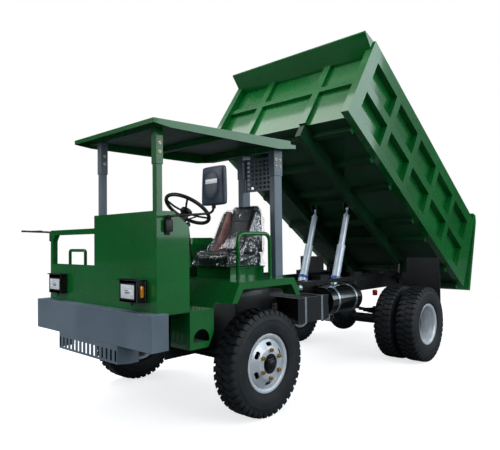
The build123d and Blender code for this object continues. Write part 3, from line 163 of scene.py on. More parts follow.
def finish(name, light, dark, metal=0.0, rough=0.4, coat=0.0, patch=3.0, grain=300.0, relief=0.0, spread=0.06,
           shine=0.5):
    """A material that wanders between two tones, with a fine grain in gloss and relief."""
    made = bpy.data.materials.new(name)
    made.use_nodes = True
    tree = made.node_tree
    shader = tree.nodes["Principled BSDF"]
    shader.inputs["Metallic"].default_value = metal
    shader.inputs["Coat Weight"].default_value = coat
    shader.inputs["Specular IOR Level"].default_value = shine
    shader.inputs["Coat Roughness"].default_value = 0.06
    place = tree.nodes.new("ShaderNodeTexCoord")

    def noise(scale, detail):
        node = tree.nodes.new("ShaderNodeTexNoise")
        node.inputs["Scale"].default_value = scale
        node.inputs["Detail"].default_value = detail
        tree.links.new(place.outputs["Object"], node.inputs["Vector"])
        return node.outputs["Fac"]

    tone = tree.nodes.new("ShaderNodeValToRGB")
    tone.color_ramp.elements[0].position, tone.color_ramp.elements[0].color = 0.35, dark
    tone.color_ramp.elements[1].position, tone.color_ramp.elements[1].color = 0.65, light
    tree.links.new(noise(patch, 4), tone.inputs["Fac"])
    tree.links.new(tone.outputs["Color"], shader.inputs["Base Color"])
    gloss = tree.nodes.new("ShaderNodeMapRange")
    gloss.inputs["To Min"].default_value = max(rough - spread, 0.03)
    gloss.inputs["To Max"].default_value = min(rough + spread, 1.0)
    tree.links.new(noise(patch * 6, 6), gloss.inputs["Value"])
    tree.links.new(gloss.outputs["Result"], shader.inputs["Roughness"])
    if relief:
        bump = tree.nodes.new("ShaderNodeBump")
        bump.inputs["Strength"].default_value = 1.0
        bump.inputs["Distance"].default_value = relief
        tree.links.new(noise(grain, 3), bump.inputs["Height"])
        tree.links.new(bump.outputs["Normal"], shader.inputs["Normal"])
    return made


# %% Mix the truck's finishes
green = finish("green_paint", colour(6, 98, 38), colour(3, 86, 31), rough=0.28, coat=0.7, patch=1.6,
               shine=0.25, spread=0.04)
slate = finish("slate_paint", colour(97, 111, 122), colour(86, 100, 111), rough=0.4, coat=0.1, grain=45,
               relief=0.0002, shine=0.35)
black = finish("black_paint", colour(15, 16, 18), colour(8, 9, 10), rough=0.36, coat=0.12, patch=5,
               grain=60, relief=0.0003, spread=0.12, shine=0.35)
tank_black = finish("tank_enamel", colour(16, 17, 19), colour(10, 11, 12), rough=0.16, coat=0.6, patch=4,
                    grain=30, relief=0.0002)
iron = finish("cast_iron", colour(24, 25, 27), colour(12, 13, 14), metal=0.3, rough=0.6, patch=14, grain=180,
              relief=0.0009)
silver = finish("wheel_silver", colour(204, 210, 216), colour(186, 193, 200), metal=0.35, rough=0.38, coat=0.2,
                patch=9, grain=160, relief=0.0002)
steel = finish("bright_steel", colour(190, 205, 216), colour(168, 184, 196), metal=0.85, rough=0.24, patch=12,
               grain=90, relief=0.0001)
rubber = finish("tyre_rubber", colour(27, 31, 36), colour(17, 20, 24), rough=0.62, patch=7, grain=420,
                relief=0.0004, spread=0.1, shine=0.4)
soft_black = finish("black_plastic", colour(17, 20, 23), colour(10, 12, 14), rough=0.45, patch=20, grain=900,
                    relief=0.0003)
floor_finish = finish("floor_card", colour(190, 191, 192), colour(186, 187, 188), rough=0.75, patch=0.4)
floor.data.materials.append(floor_finish)
print("finishes:", [m.name for m in bpy.data.materials if m.users])

# %% [markdown]
# The truck stood on dark ground, so little light comes up under the bed. The floor is a pale
# card to the camera, which fades to plain white away from the truck so that it meets the
# white sky without a line, and a grey card to every other ray.

# %% A floor that is pale to the camera only
tree = floor_finish.node_tree
tree.nodes["Principled BSDF"].inputs["Emission Color"].default_value = (1, 1, 1, 1)
tree.nodes["Principled BSDF"].inputs["Emission Strength"].default_value = 0.72
grey_card = tree.nodes.new("ShaderNodeBsdfDiffuse")
grey_card.inputs["Color"].default_value = (0.16, 0.165, 0.17, 1)
seen = tree.nodes.new("ShaderNodeLightPath")
either = tree.nodes.new("ShaderNodeMixShader")
place = tree.nodes.new("ShaderNodeTexCoord")
away = tree.nodes.new("ShaderNodeVectorMath")
away.operation = "LENGTH"
fade = tree.nodes.new("ShaderNodeMapRange")
fade.inputs["From Min"].default_value, fade.inputs["From Max"].default_value = 4.0, 9.0
white_card = tree.nodes.new("ShaderNodeEmission")
pale = tree.nodes.new("ShaderNodeMixShader")
tree.links.new(place.outputs["Object"], away.inputs[0])
tree.links.new(away.outputs["Value"], fade.inputs["Value"])
tree.links.new(fade.outputs["Result"], pale.inputs["Fac"])
tree.links.new(tree.nodes["Principled BSDF"].outputs["BSDF"], pale.inputs[1])
tree.links.new(white_card.outputs["Emission"], pale.inputs[2])
tree.links.new(seen.outputs["Is Camera Ray"], either.inputs["Fac"])
tree.links.new(grey_card.outputs["BSDF"], either.inputs[1])
tree.links.new(pale.outputs["Shader"], either.inputs[2])
tree.links.new(either.outputs["Shader"], tree.nodes["Material Output"].inputs["Surface"])
print("floor:", floor_finish.name)

# %% [markdown]
# ## Sheet metal with softened edges
# Folded and welded plate never ends in a perfectly sharp line: a small rounded edge
# catches the light. A CAD node's own mesh is not changed, so each one is copied, its loose
# triangles are merged into whole faces, and a narrow bevel rounds the sharp edges. Weighted
# normals then keep the wide faces flat, so that only the rounded edges bend the light. The
# copy stands for the node.


# %% A helper that copies a node and rounds its edges
def only(piece):
    """Makes one piece the whole selection and the active object."""
    bpy.ops.object.select_all(action="DESELECT")
    piece.select_set(True)
    bpy.context.view_layer.objects.active = piece


def apply_all(piece):
    """Applies a piece's modifiers in order."""
    only(piece)
    for modifier in list(piece.modifiers):
        bpy.ops.object.modifier_apply(modifier=modifier.name)


def coat(piece, material):
    """Gives a piece one finish all over."""
    piece.data.materials.clear()
    piece.data.materials.append(material)


def rounded(node, width, material, segments=2):
    """A copy of a CAD node with rounded edges, which stands for the node."""
    piece = bpy.data.objects.new(node + "_plate", nodes[node].data.copy())
    bpy.context.scene.collection.objects.link(piece)
    only(piece)
    bpy.ops.object.mode_set(mode="EDIT")
    bpy.ops.mesh.select_all(action="SELECT")
    bpy.ops.mesh.remove_doubles(threshold=0.00002)
    bpy.ops.mesh.dissolve_limited(angle_limit=radians(1.0))
    bpy.ops.object.mode_set(mode="OBJECT")
    bevel = piece.modifiers.new("edge", "BEVEL")
    bevel.width = width
    bevel.segments = segments
    bevel.limit_method = "ANGLE"
    bevel.angle_limit = radians(35)
    apply_all(piece)
    bpy.ops.object.shade_smooth_by_angle(angle=radians(50))
    flat_faces = piece.modifiers.new("flat_faces", "WEIGHTED_NORMAL")
    flat_faces.keep_sharp = True
    flat_faces.weight = 100
    apply_all(piece)
    coat(piece, material)
    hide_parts(node)
    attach(piece, nodes[node]["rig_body"])
    return piece


# %% Round the plates and paint them
PLATES = [
    ("bed", 0.003, green, "green"), ("tailgate", 0.003, green, "green"), ("canopy", 0.0015, green, "green"),
    ("cowl", 0.002, green, "green"), ("fenders", 0.0015, green, "green"), ("cab_floor", 0.0015, green, "green"),
    ("engine_cover", 0.004, green, "green"), ("posts", 0.003, slate, "slate"), ("bumper", 0.002, slate, "slate"),
    ("bumper_grille", 0.0015, slate, "slate"), ("lamp_housings", 0.002, soft_black, "trim"),
    ("mud_flaps", 0.002, soft_black, "rubber"), ("frame", 0.002, black, "black"), ("tanks", 0.006, tank_black, "black"),
]
for node, width, material, slot in PLATES:
    piece = rounded(node, width, material)
    print(piece.name, len(piece.data.polygons), "faces")

# %% Finishes for the nodes that stay as they are
for names, material in (
    (("front_axle", "rear_axle", "leaf_springs", "engine", "knuckle_left", "knuckle_right", "tie_rod"), iron),
    (("rails",), green), (("steering_column", "steering_wheel", "mirrors"), soft_black),
    (("tank_straps",), steel), (("seat",), soft_black),
    ([n for n in nodes if n.startswith("hoist_")], steel),
):
    for name in names:
        coat(nodes[name], material)
        only(nodes[name])
print("finished the plain nodes")

# %% [markdown]
# ## Modelling tools
# Most pieces below start as a primitive and are then shaped in edit mode, as by hand. Four
# small helpers keep that short: one picks faces by a test on their centre and normal, one
# turns an outline about the wheels' line, one makes a bar between two points, and one makes
# a block with softened edges.


# %% Helpers for edit mode
def open_up(piece):
    """Starts editing a piece with nothing selected in it."""
    only(piece)
    bpy.ops.object.mode_set(mode="EDIT")
    bpy.ops.mesh.select_mode(type="FACE")
    bpy.ops.mesh.select_all(action="DESELECT")


def pick(piece, test):
    """Selects just the faces whose centre and normal pass a test."""
    shape = bmesh.from_edit_mesh(piece.data)
    for face in shape.faces:
        face.select_set(bool(test(face.calc_center_median(), face.normal)))
    shape.select_flush(True)
    bmesh.update_edit_mesh(piece.data)


def close_up(piece, angle=35):
    """Leaves edit mode and smooths the faces that meet at less than an angle."""
    bpy.ops.object.mode_set(mode="OBJECT")
    only(piece)
    bpy.ops.object.shade_smooth_by_angle(angle=radians(angle))


def soften(piece, width, segments=2, angle=30):
    """Rounds a piece's sharp edges."""
    bevel = piece.modifiers.new("edge", "BEVEL")
    bevel.width, bevel.segments = width, segments
    bevel.limit_method = "ANGLE"
    bevel.angle_limit = radians(angle)
    apply_all(piece)


def mounted(piece, name, material, body):
    """Names a finished piece, gives it its finish and lets it ride on a body."""
    piece.name = name
    coat(piece, material)
    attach(piece, body)
    return piece


# %% Helpers for turned shapes, bars and blocks
def turned(points, centre=(0, 0, 0), steps=64, closed=False):
    """An outline of (outward, radius) points, spun about the line along X through a centre."""
    bpy.ops.object.select_all(action="DESELECT")
    bpy.ops.mesh.primitive_plane_add(size=0.001)
    piece = bpy.context.object
    bpy.ops.object.mode_set(mode="EDIT")
    bpy.ops.mesh.select_mode(type="VERT")
    bpy.ops.mesh.merge(type="CENTER")
    line = [Vector((centre[0] + a, centre[1], centre[2] + r)) for a, r in points]
    bpy.ops.transform.translate(value=line[0])
    for here, there in zip(line, line[1:] + (line[:1] if closed else [])):
        bpy.ops.mesh.extrude_region_move(TRANSFORM_OT_translate={"value": there - here})
    bpy.ops.mesh.select_all(action="SELECT")
    bpy.ops.mesh.remove_doubles(threshold=0.00001)
    bpy.ops.mesh.spin(steps=steps, angle=2 * pi, center=centre, axis=(1, 0, 0))
    bpy.ops.mesh.select_all(action="SELECT")
    bpy.ops.mesh.remove_doubles(threshold=0.00002)
    bpy.ops.mesh.normals_make_consistent(inside=False)
    close_up(piece)
    return piece


def settle(piece):
    """Moves a piece's place and turn into its mesh, so that its object sits at the origin."""
    only(piece)
    bpy.ops.object.transform_apply(location=True, rotation=True, scale=True)
    return piece


def bar(start, end, radius, sides=20, edge=0.001):
    """A round bar between two points, with its ends' edges rounded."""
    start, end = Vector(start), Vector(end)
    bpy.ops.object.select_all(action="DESELECT")
    bpy.ops.mesh.primitive_cylinder_add(vertices=sides, radius=radius, depth=(end - start).length,
                                        location=(start + end) / 2,
                                        rotation=(end - start).to_track_quat("Z", "Y").to_euler())
    piece = settle(bpy.context.object)
    soften(piece, min(edge, radius * 0.3))
    close_up(piece)
    return piece


def slab(x, y, z, edge=0.002):
    """A block between two corners, each axis given as (low, high), with rounded edges."""
    bpy.ops.object.select_all(action="DESELECT")
    bpy.ops.mesh.primitive_cube_add(size=1, location=[(lo + hi) / 2 for lo, hi in (x, y, z)])
    piece = bpy.context.object
    piece.scale = [hi - lo for lo, hi in (x, y, z)]
    settle(piece)
    soften(piece, edge)
    close_up(piece)
    return piece


def copied(piece, shift):
    """A copy of a piece with its own mesh, moved or turned by a matrix."""
    twin = piece.copy()
    twin.data = piece.data.copy()
    twin.data.transform(shift)
    bpy.context.scene.collection.objects.link(twin)
    return twin


def joined(parts):
    """Several pieces made one, in the first one's place."""
    bpy.ops.object.select_all(action="DESELECT")
    for part in parts:
        part.select_set(True)
    bpy.context.view_layer.objects.active = parts[0]
    bpy.ops.object.join()
    return parts[0]


def about_axle(centre, angle):
    """The turn by an angle about the line along X through a centre."""
    return Matrix.Translation(centre) @ Matrix.Rotation(angle, 4, "X") @ Matrix.Translation(-Vector(centre))


# %% [markdown]
# ## Tyres
# A lugged truck tyre is a smooth casing with two rows of deep blocks that meet in a zigzag
# down the middle. The casing is an outline spun about the axle. One lug is a small block
# pulled out face by face towards the shoulder, and its copies are set round the tyre, the
# second row half a step behind the first. A bump map would not change the outline of the
# tread against the light; real blocks do.

# %% The casing's outline
TYRE_R = 0.4325
LUGS = 40
HALF_CASING = [(0.0835, 0.2135), (0.0905, 0.2390), (0.0985, 0.2430), (0.1050, 0.2540), (0.1070, 0.2560),
               (0.1075, 0.2600), (0.1110, 0.2720), (0.1150, 0.2900), (0.1168, 0.3120), (0.1165, 0.3300),
               (0.1150, 0.3460), (0.1155, 0.3480), (0.1135, 0.3560), (0.1085, 0.3750), (0.1020, 0.3930),
               (0.0930, 0.4080), (0.0800, 0.4150), (0.0400, 0.4190)]
casing = turned([(-a, r) for a, r in HALF_CASING] + [(a, r) for a, r in reversed(HALF_CASING)], steps=96)
casing.name = "casing"
print("casing:", len(casing.data.polygons), "faces")

# %% One lug, pulled out towards the shoulder
bpy.ops.object.select_all(action="DESELECT")
bpy.ops.mesh.primitive_cube_add(size=1, location=(0.020, 0, TYRE_R - 0.011))
lug = bpy.context.object
lug.scale = (0.028, 0.034, 0.020)
settle(lug)
open_up(lug)
for shift, widen in (((0.020, -0.012, 0.0), 1.0), ((0.018, 0.006, -0.001), 1.12), ((0.022, 0.011, -0.003), 1.2),
                     ((0.013, 0.003, -0.030), 1.0)):
    pick(lug, lambda centre, normal: normal.x > 0.6)
    bpy.ops.mesh.extrude_region_move(TRANSFORM_OT_translate={"value": shift})
    bpy.ops.transform.resize(value=(1, widen, 1))
pick(lug, lambda centre, normal: normal.z > 0.6)
bpy.ops.mesh.inset(thickness=0.0025, depth=0)
bpy.ops.transform.translate(value=(0, 0, 0.0006))
close_up(lug, 50)
print("lug:", len(lug.data.polygons), "faces")

# %% Set the lugs round the casing
twin_row = Matrix.Rotation(pi, 4, "Z")
blocks = []
for k in range(LUGS):
    step = 2 * pi * k / LUGS
    blocks.append(copied(lug, Matrix.Rotation(step, 4, "X")))
    blocks.append(copied(lug, Matrix.Rotation(step + pi / LUGS, 4, "X") @ twin_row))
tyre = joined([casing] + blocks)
bpy.data.objects.remove(lug)
print("tyre:", len(tyre.data.polygons), "faces")

# %% A tyre for each wheel
WHEEL_X, FRONT_Y, REAR_Y, AXLE_Z = 0.890, -1.840, 0.777, 0.4325
OUTER_X, INNER_X, FACE_X = 1.066, 0.786, 0.926
for side, word in ((1, "left"), (-1, "right")):
    front = copied(tyre, Matrix.Translation((side * WHEEL_X, FRONT_Y, AXLE_Z)) @ Matrix.Rotation(0.06 * side, 4, "X"))
    mounted(front, f"front_{word}_lugged_tyre", rubber, f"front_{word}_wheel")
    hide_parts(f"front_{word}_tyre")
    pair = joined([copied(tyre, Matrix.Translation((side * x, REAR_Y, AXLE_Z)) @ Matrix.Rotation(turn, 4, "X"))
                   for x, turn in ((OUTER_X, 0.03), (INNER_X, 0.11))])
    mounted(pair, f"rear_{word}_lugged_tyres", rubber, f"rear_{word}_wheels")
    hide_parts(f"rear_{word}_tyres")
bpy.data.objects.remove(tyre)
print("tyres set on six wheels")

# %% [markdown]
# ## Wheels
# Each wheel is a pressed disc welded into a rolled rim, held by six nuts round a black hub.
# Both steel shapes are spun outlines; the oval hand holes are cut by a Boolean with one
# stadium-shaped cutter, copied round, because holes drawn by hand in a curved disc would
# leave dents in its shading.

# %% Rim, disc and hand holes
RIM = [(0.0950, 0.2320), (0.0935, 0.2362), (0.0885, 0.2364), (0.0862, 0.2300), (0.0850, 0.2130), (0.0600, 0.2030),
       (-0.0600, 0.2030), (-0.0850, 0.2130), (-0.0862, 0.2300), (-0.0885, 0.2364), (-0.0935, 0.2362),
       (-0.0950, 0.2320), (-0.0915, 0.2160), (-0.0870, 0.2070), (-0.0640, 0.1935), (0.0640, 0.1935),
       (0.0870, 0.2070), (0.0915, 0.2160)]
FRONT_DISC = [(0.048, 0.1955), (0.070, 0.1950), (0.077, 0.1910), (0.081, 0.1840), (0.092, 0.1650), (0.103, 0.1480),
              (0.110, 0.1380), (0.115, 0.1310), (0.118, 0.1240), (0.118, 0.0800), (0.110, 0.0800),
              (0.110, 0.1210), (0.107, 0.1270), (0.102, 0.1330), (0.095, 0.1430), (0.084, 0.1600), (0.073, 0.1790),
              (0.067, 0.1870), (0.048, 0.1880)]
DEEP_DISC = [(0.044, 0.1945), (0.030, 0.1900), (-0.060, 0.1800), (-0.104, 0.1690), (-0.124, 0.1560), (-0.1350, 0.1400),
             (-0.1390, 0.1280), (-0.1390, 0.0640), (-0.1300, 0.0640), (-0.1300, 0.1280), (-0.1260, 0.1370),
             (-0.1160, 0.1500), (-0.0980, 0.1610), (-0.0580, 0.1715), (0.030, 0.1820), (0.044, 0.1870)]
NUT_R, HOLE_R, NUT_TURN = 0.111, 0.156, radians(27)


def hand_holed(disc, centre, depth):
    """Cuts six oval hand holes through a disc."""
    bpy.ops.object.select_all(action="DESELECT")
    bpy.ops.mesh.primitive_cylinder_add(vertices=20, radius=0.0160, depth=depth, rotation=(0, pi / 2, 0),
                                        location=(centre[0], centre[1], centre[2] + HOLE_R))
    cutter = settle(bpy.context.object)
    open_up(cutter)
    bpy.ops.mesh.select_mode(type="VERT")
    shape = bmesh.from_edit_mesh(cutter.data)
    for vertex in shape.verts:
        vertex.select_set(vertex.co.y > centre[1] + 0.001)
    bmesh.update_edit_mesh(cutter.data)
    bpy.ops.transform.translate(value=(0, 0.034, 0))
    bpy.ops.object.mode_set(mode="OBJECT")
    cutter.data.transform(Matrix.Translation((0, -0.017, 0)))
    ring = [copied(cutter, about_axle(centre, NUT_TURN + pi / 6 + k * pi / 3)) for k in range(6)]
    bpy.data.objects.remove(cutter)
    cutter = joined(ring)
    cut = disc.modifiers.new("hand_holes", "BOOLEAN")
    cut.object, cut.operation, cut.solver = cutter, "DIFFERENCE", "EXACT"
    apply_all(disc)
    bpy.data.objects.remove(cutter)
    close_up(disc, 30)


# %% One nut on its stud
def nut(place, side, height=0.020):
    """A six-sided nut with a chamfered top and the stud's end standing out of it."""
    bpy.ops.object.select_all(action="DESELECT")
    bpy.ops.mesh.primitive_cylinder_add(vertices=6, radius=0.017, depth=height, rotation=(0, pi / 2, 0),
                                        location=(place[0] + side * height / 2, place[1], place[2]))
    piece = settle(bpy.context.object)
    open_up(piece)
    pick(piece, lambda centre, normal: normal.x * side > 0.9)
    bpy.ops.mesh.inset(thickness=0.0022, depth=0.0018)
    bpy.ops.mesh.inset(thickness=0.0045, depth=-0.0012)
    bpy.ops.mesh.inset(thickness=0.0004, depth=0.010)
    close_up(piece, 25)
    return piece


# %% [markdown]
# The nuts are yellow-plated, which reads as brass. The hub and its cap are painted black.

# %% Build the wheels on their bodies
brass = finish("yellow_plating", colour(196, 160, 96), colour(150, 116, 62), metal=0.9, rough=0.34, patch=60,
               grain=500, relief=0.0002)


def wheel_set(name, body, side, rims, hub_face, hub_outline):
    """Rims with discs, hub and nuts. rims lists (centre x, disc outline, which way it faces)."""
    y = FRONT_Y if name.startswith("front") else REAR_Y
    steel_parts = []
    for x, disc_outline, facing in rims:
        centre = (x, y, AXLE_Z)
        steel_parts.append(turned([(side * a, r) for a, r in RIM], centre, 72, closed=True))
        disc = turned([(side * facing * a, r) for a, r in disc_outline], centre, 72, closed=True)
        hand_holed(disc, (x - side * facing * (0.07 if disc_outline is DEEP_DISC else -0.07), y, AXLE_Z), 0.16)
        steel_parts.append(disc)
    wheel = mounted(joined(steel_parts), f"{name}_rims", silver, body)
    hub = turned([(side * a, r) for a, r in hub_outline], (hub_face, y, AXLE_Z), 48)
    mounted(hub, f"{name}_hub", black, body)
    first = nut((hub_face + side * 0.0, y, AXLE_Z + NUT_R), side)
    nuts = [copied(first, about_axle((hub_face, y, AXLE_Z), NUT_TURN - pi / 2 + k * pi / 3)) for k in range(6)]
    bpy.data.objects.remove(first)
    mounted(joined(nuts), f"{name}_nuts", brass, body)
    return wheel


for side, word in ((1, "left"), (-1, "right")):
    front = wheel_set(f"front_{word}", f"front_{word}_wheel", side, [(side * WHEEL_X, FRONT_DISC, 1)],
                      side * (WHEEL_X + 0.118),
                      [(-0.180, 0.050), (-0.180, 0.160), (-0.085, 0.160), (-0.080, 0.154), (-0.060, 0.084),
                       (-0.013, 0.0785), (-0.010, 0.075), (-0.010, 0.055), (0.006, 0.052), (0.016, 0.047), (0.018, 0.040),
                       (0.024, 0.036), (0.030, 0.026), (0.032, 0.014), (0.032, 0.0)])
    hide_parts(f"front_{word}_wheel")
    rear = wheel_set(f"rear_{word}", f"rear_{word}_wheels", side,
                     [(side * OUTER_X, DEEP_DISC, 1), (side * INNER_X, DEEP_DISC, -1)],
                     side * (FACE_X + 0.010),
                     [(-0.150, 0.052), (-0.150, 0.160), (-0.068, 0.160), (-0.050, 0.094), (0.008, 0.092),
                      (0.096, 0.088), (0.104, 0.080), (0.106, 0.052), (0.118, 0.048), (0.1215, 0.036), (0.1215, 0.0)])
    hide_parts(f"rear_{word}_wheels")
    print(word, "wheels:", len(front.data.polygons), "and", len(rear.data.polygons), "faces")

# %% [markdown]
# ## Bent tubes and bolts
# A bent tube is a short line of points, drawn by extruding one vertex, turned into a smooth
# curve and given a round section. A bolt is a wide zinc washer with a small brass head.


# %% Helpers for tubes and bolts
def tube(points, radius, order=3, smooth=5):
    """A smooth round tube along a line of points."""
    bpy.ops.object.select_all(action="DESELECT")
    bpy.ops.mesh.primitive_plane_add(size=0.001)
    bpy.ops.object.mode_set(mode="EDIT")
    bpy.ops.mesh.select_mode(type="VERT")
    bpy.ops.mesh.merge(type="CENTER")
    bpy.ops.transform.translate(value=points[0])
    for here, there in zip(points, points[1:]):
        bpy.ops.mesh.extrude_region_move(TRANSFORM_OT_translate={"value": Vector(there) - Vector(here)})
    bpy.ops.object.mode_set(mode="OBJECT")
    bpy.ops.object.convert(target="CURVE")
    line = bpy.context.object
    bpy.ops.object.mode_set(mode="EDIT")
    bpy.ops.curve.select_all(action="SELECT")
    bpy.ops.curve.spline_type_set(type="NURBS")
    bpy.ops.object.mode_set(mode="OBJECT")
    spline = line.data.splines[0]
    spline.order_u, spline.use_endpoint_u, spline.resolution_u = order, True, smooth
    line.data.bevel_depth, line.data.bevel_resolution, line.data.use_fill_caps = radius, 3, True
    bpy.ops.object.convert(target="MESH")
    close_up(bpy.context.object, 40)
    return bpy.context.object


def disc(place, facing, radius, height, sides=20, edge=0.0006):
    """A low cylinder that stands on a place and faces along a direction."""
    start = Vector(place)
    return bar(start, start + Vector(facing) * height, radius, sides, edge)


def ring_of(centre, axis, radius, thickness, around=64, across=14):
    """A round ring about an axis."""
    bpy.ops.object.select_all(action="DESELECT")
    bpy.ops.mesh.primitive_torus_add(location=centre, rotation=Vector(axis).to_track_quat("Z", "Y").to_euler(),
                                     major_radius=radius, minor_radius=thickness,
                                     major_segments=around, minor_segments=across)
    piece = settle(bpy.context.object)
    close_up(piece, 60)
    return piece


zinc = finish("zinc_washer", colour(226, 220, 198), colour(204, 196, 172), metal=0.4, rough=0.35, patch=80,
              grain=600, relief=0.0001)


def bolts(name, places, facing, body="chassis", washer=0.0125, head=0.0065):
    """Brass heads on zinc washers at a list of places, all facing one way."""
    spread = [disc(place, facing, washer, 0.003, 24) for place in places]
    mounted(joined(spread), name + "_washers", zinc, body)
    heads = [disc(Vector(place) + Vector(facing) * 0.003, facing, head, 0.006, 6) for place in places]
    mounted(joined(heads), name + "_heads", brass, body)


# %% [markdown]
# ## Posts
# The near front post is green and the others slate. The paint changes at the post, so the
# post's faces get their finish by place. Each front sleeve is held by two bolts and each
# rear sleeve by four. Small open holes above and below them are painted shade: a thin black
# disc on the plate stands for each hole's dark inside.

# %% Paint the near front post and bolt the sleeves
posts = bpy.data.objects["posts_plate"]
posts.data.materials.append(green)
for face in posts.data.polygons:
    if face.center.x > 0.7 and face.center.y < -2.6:
        face.material_index = 1
bolts("near_sleeve", [(0.8025, -2.765, z) for z in (2.062, 2.126)], (1, 0, 0))
bolts("far_sleeve", [(0.0615, -2.765, z) for z in (2.060, 2.122)], (1, 0, 0))
bolts("rear_sleeve", [(0.8000, -1.460 + dy, z) for dy in (-0.027, 0.027) for z in (2.088, 2.150)], (1, 0, 0),
      washer=0.0115)
# thin black discs: painted shade for the dark inside of each open hole
painted_hole_shades = [disc((0.8022, -2.765, z), (1, 0, 0), 0.005, 0.0008, 12, 0.0002) for z in (2.003, 2.192)]
painted_hole_shades += [disc((0.7998, -1.460 + dy, z), (1, 0, 0), 0.005, 0.0008, 12, 0.0002)
         for dy in (-0.027, 0.027) for z in (2.028, 2.208)]
mounted(joined(painted_hole_shades), "sleeve_hole_shades", soft_black, "chassis")
print("bolts on the sleeves:", 2 + 2 + 4)

# %% [markdown]
# ## Bed underside
# Under its floor the bed lies in shade, and that shade is painted into its colour: the faces
# below the floor get a dull, darker green. They are found by how far they lie from the
# floor's plane once the bed is tipped up. The canopy's downward faces get the same painted shade.

# %% Paint the shade under the bed and the canopy
# painted shade: a dull, dark green that stands for the shade under the bed and the canopy
underside_shade_green = finish("painted_underside_shade", colour(10, 56, 30), colour(7, 42, 23), rough=0.5, coat=0.05, patch=2.2,
                   grain=30, relief=0.0004, shine=0.3, spread=0.1)
TILT = radians(34)
HINGE = Vector((0, 1.550, 1.086))
floor_normal = Vector((0, sin(TILT), cos(TILT)))
floor_line = Vector((0, -cos(TILT), sin(TILT)))
bed = bpy.data.objects["bed_plate"]
bed.data.materials.append(underside_shade_green)
for face in bed.data.polygons:
    depth = (face.center - HINGE).dot(floor_normal) - 0.120
    along = (face.center - HINGE).dot(floor_line) + 0.780
    if depth < 0.001 and abs(face.center.x) < 0.95 and along < 3.47:
        face.material_index = 1
# the same painted shade on the canopy's downward faces
canopy = bpy.data.objects["canopy_plate"]
canopy.data.materials.append(underside_shade_green)
for face in canopy.data.polygons:
    if face.normal.z < -0.6 and face.center.z < 2.3:
        face.material_index = 1
print("underside faces:", sum(face.material_index for face in bed.data.polygons))

# %% [markdown]
# ## Lamps
# Each headlamp is a black box with a hood. A clear moulded lens sits in its front, and its
# glass is drawn up into upright ribs with a bright bowl behind, which is what makes a lamp
# read as a lamp. An amber lamp and a row of holes are on the near box's outer side.

# %% Glass and amber
glass = finish("clear_lens", colour(236, 240, 242), colour(214, 220, 224), rough=0.08, coat=0.6, patch=30,
               grain=240, relief=0.0003, shine=0.8)
bowl_silver = finish("lamp_bowl", colour(240, 242, 244), colour(170, 176, 180), metal=0.8, rough=0.2, patch=22,
                     grain=80, relief=0.0002)
amber = finish("amber_lens", colour(226, 146, 24), colour(186, 104, 12), rough=0.15, coat=0.6, patch=40,
               grain=200, relief=0.0004)

# %% Build both lamps from a table: box x, front y, box z, lens x, lens z
LAMPS = (
    ("far", (-0.728, -0.502), -2.860, (0.985, 1.151), (-0.700, -0.517), (1.017, 1.113)),
    ("near", (0.472, 0.700), -2.890, (0.992, 1.153), (0.496, 0.671), (1.019, 1.122)),
)
PANEL_FRONT = -2.805
shells = []
for word, box_x, front_y, box_z, lens_x, lens_z in LAMPS:
    shell = slab(box_x, (front_y, PANEL_FRONT), box_z, 0.004)
    open_up(shell)
    pick(shell, lambda centre, normal: normal.y < -0.9)
    bpy.ops.transform.resize(value=(0.95, 1, 1))
    bpy.ops.transform.translate(value=(-0.005, 0, 0))
    close_up(shell, 35)
    hood = slab((box_x[0] - 0.005, box_x[1] + 0.005), (front_y - 0.015, front_y + 0.060),
                (box_z[1] - 0.003, box_z[1] + 0.005), 0.002)
    lens_middle = ((lens_x[0] + lens_x[1]) / 2, (lens_z[0] + lens_z[1]) / 2)
    foot = bar((lens_middle[0] + 0.03, front_y + 0.012, box_z[0] - 0.022),
               (lens_middle[0] + 0.03, front_y + 0.012, box_z[0] + 0.004), 0.006, 16)
    frame_parts = []
    for x, z in (((lens_x[0] - 0.007, lens_x[0] + 0.002), (lens_z[0] - 0.006, lens_z[1] + 0.006)),
                 ((lens_x[1] - 0.002, lens_x[1] + 0.007), (lens_z[0] - 0.006, lens_z[1] + 0.006)),
                 ((lens_x[0] - 0.007, lens_x[1] + 0.007), (lens_z[0] - 0.007, lens_z[0] + 0.002)),
                 ((lens_x[0] - 0.007, lens_x[1] + 0.007), (lens_z[1] - 0.002, lens_z[1] + 0.007))):
        frame_parts.append(slab(x, (front_y - 0.007, front_y + 0.004), z, 0.0015))
    shells.append(joined([shell, hood, foot] + frame_parts))

    # the lens: upright ribs side by side, crossed by three flat bars
    ribs = []
    count = 9
    pitch = (lens_x[1] - lens_x[0]) / count
    for k in range(count):
        x = lens_x[0] + (k + 0.5) * pitch
        rib = slab((x - pitch / 2, x + pitch / 2), (front_y - 0.0045, front_y + 0.001), lens_z, 0.0028)
        ribs.append(rib)
    for z in (0.30, 0.52, 0.76):
        middle = lens_z[0] + (lens_z[1] - lens_z[0]) * z
        ribs.append(slab(lens_x, (front_y - 0.0056, front_y), (middle - 0.003, middle + 0.003), 0.0015))
    mounted(joined(ribs), f"{word}_lamp_lens", glass, "chassis")
    bulb = slab((lens_middle[0] - 0.030, lens_middle[0] + 0.034), (front_y - 0.0052, front_y),
                (lens_middle[1] - 0.020, lens_middle[1] + 0.012), 0.003)
    mounted(bulb, f"{word}_lamp_bulb", bowl_silver, "chassis")
    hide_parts("lamp_lenses")
shell = mounted(joined(shells), "lamp_boxes", soft_black, "chassis")
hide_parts("lamp_housings")
print("lamps:", len(LAMPS))

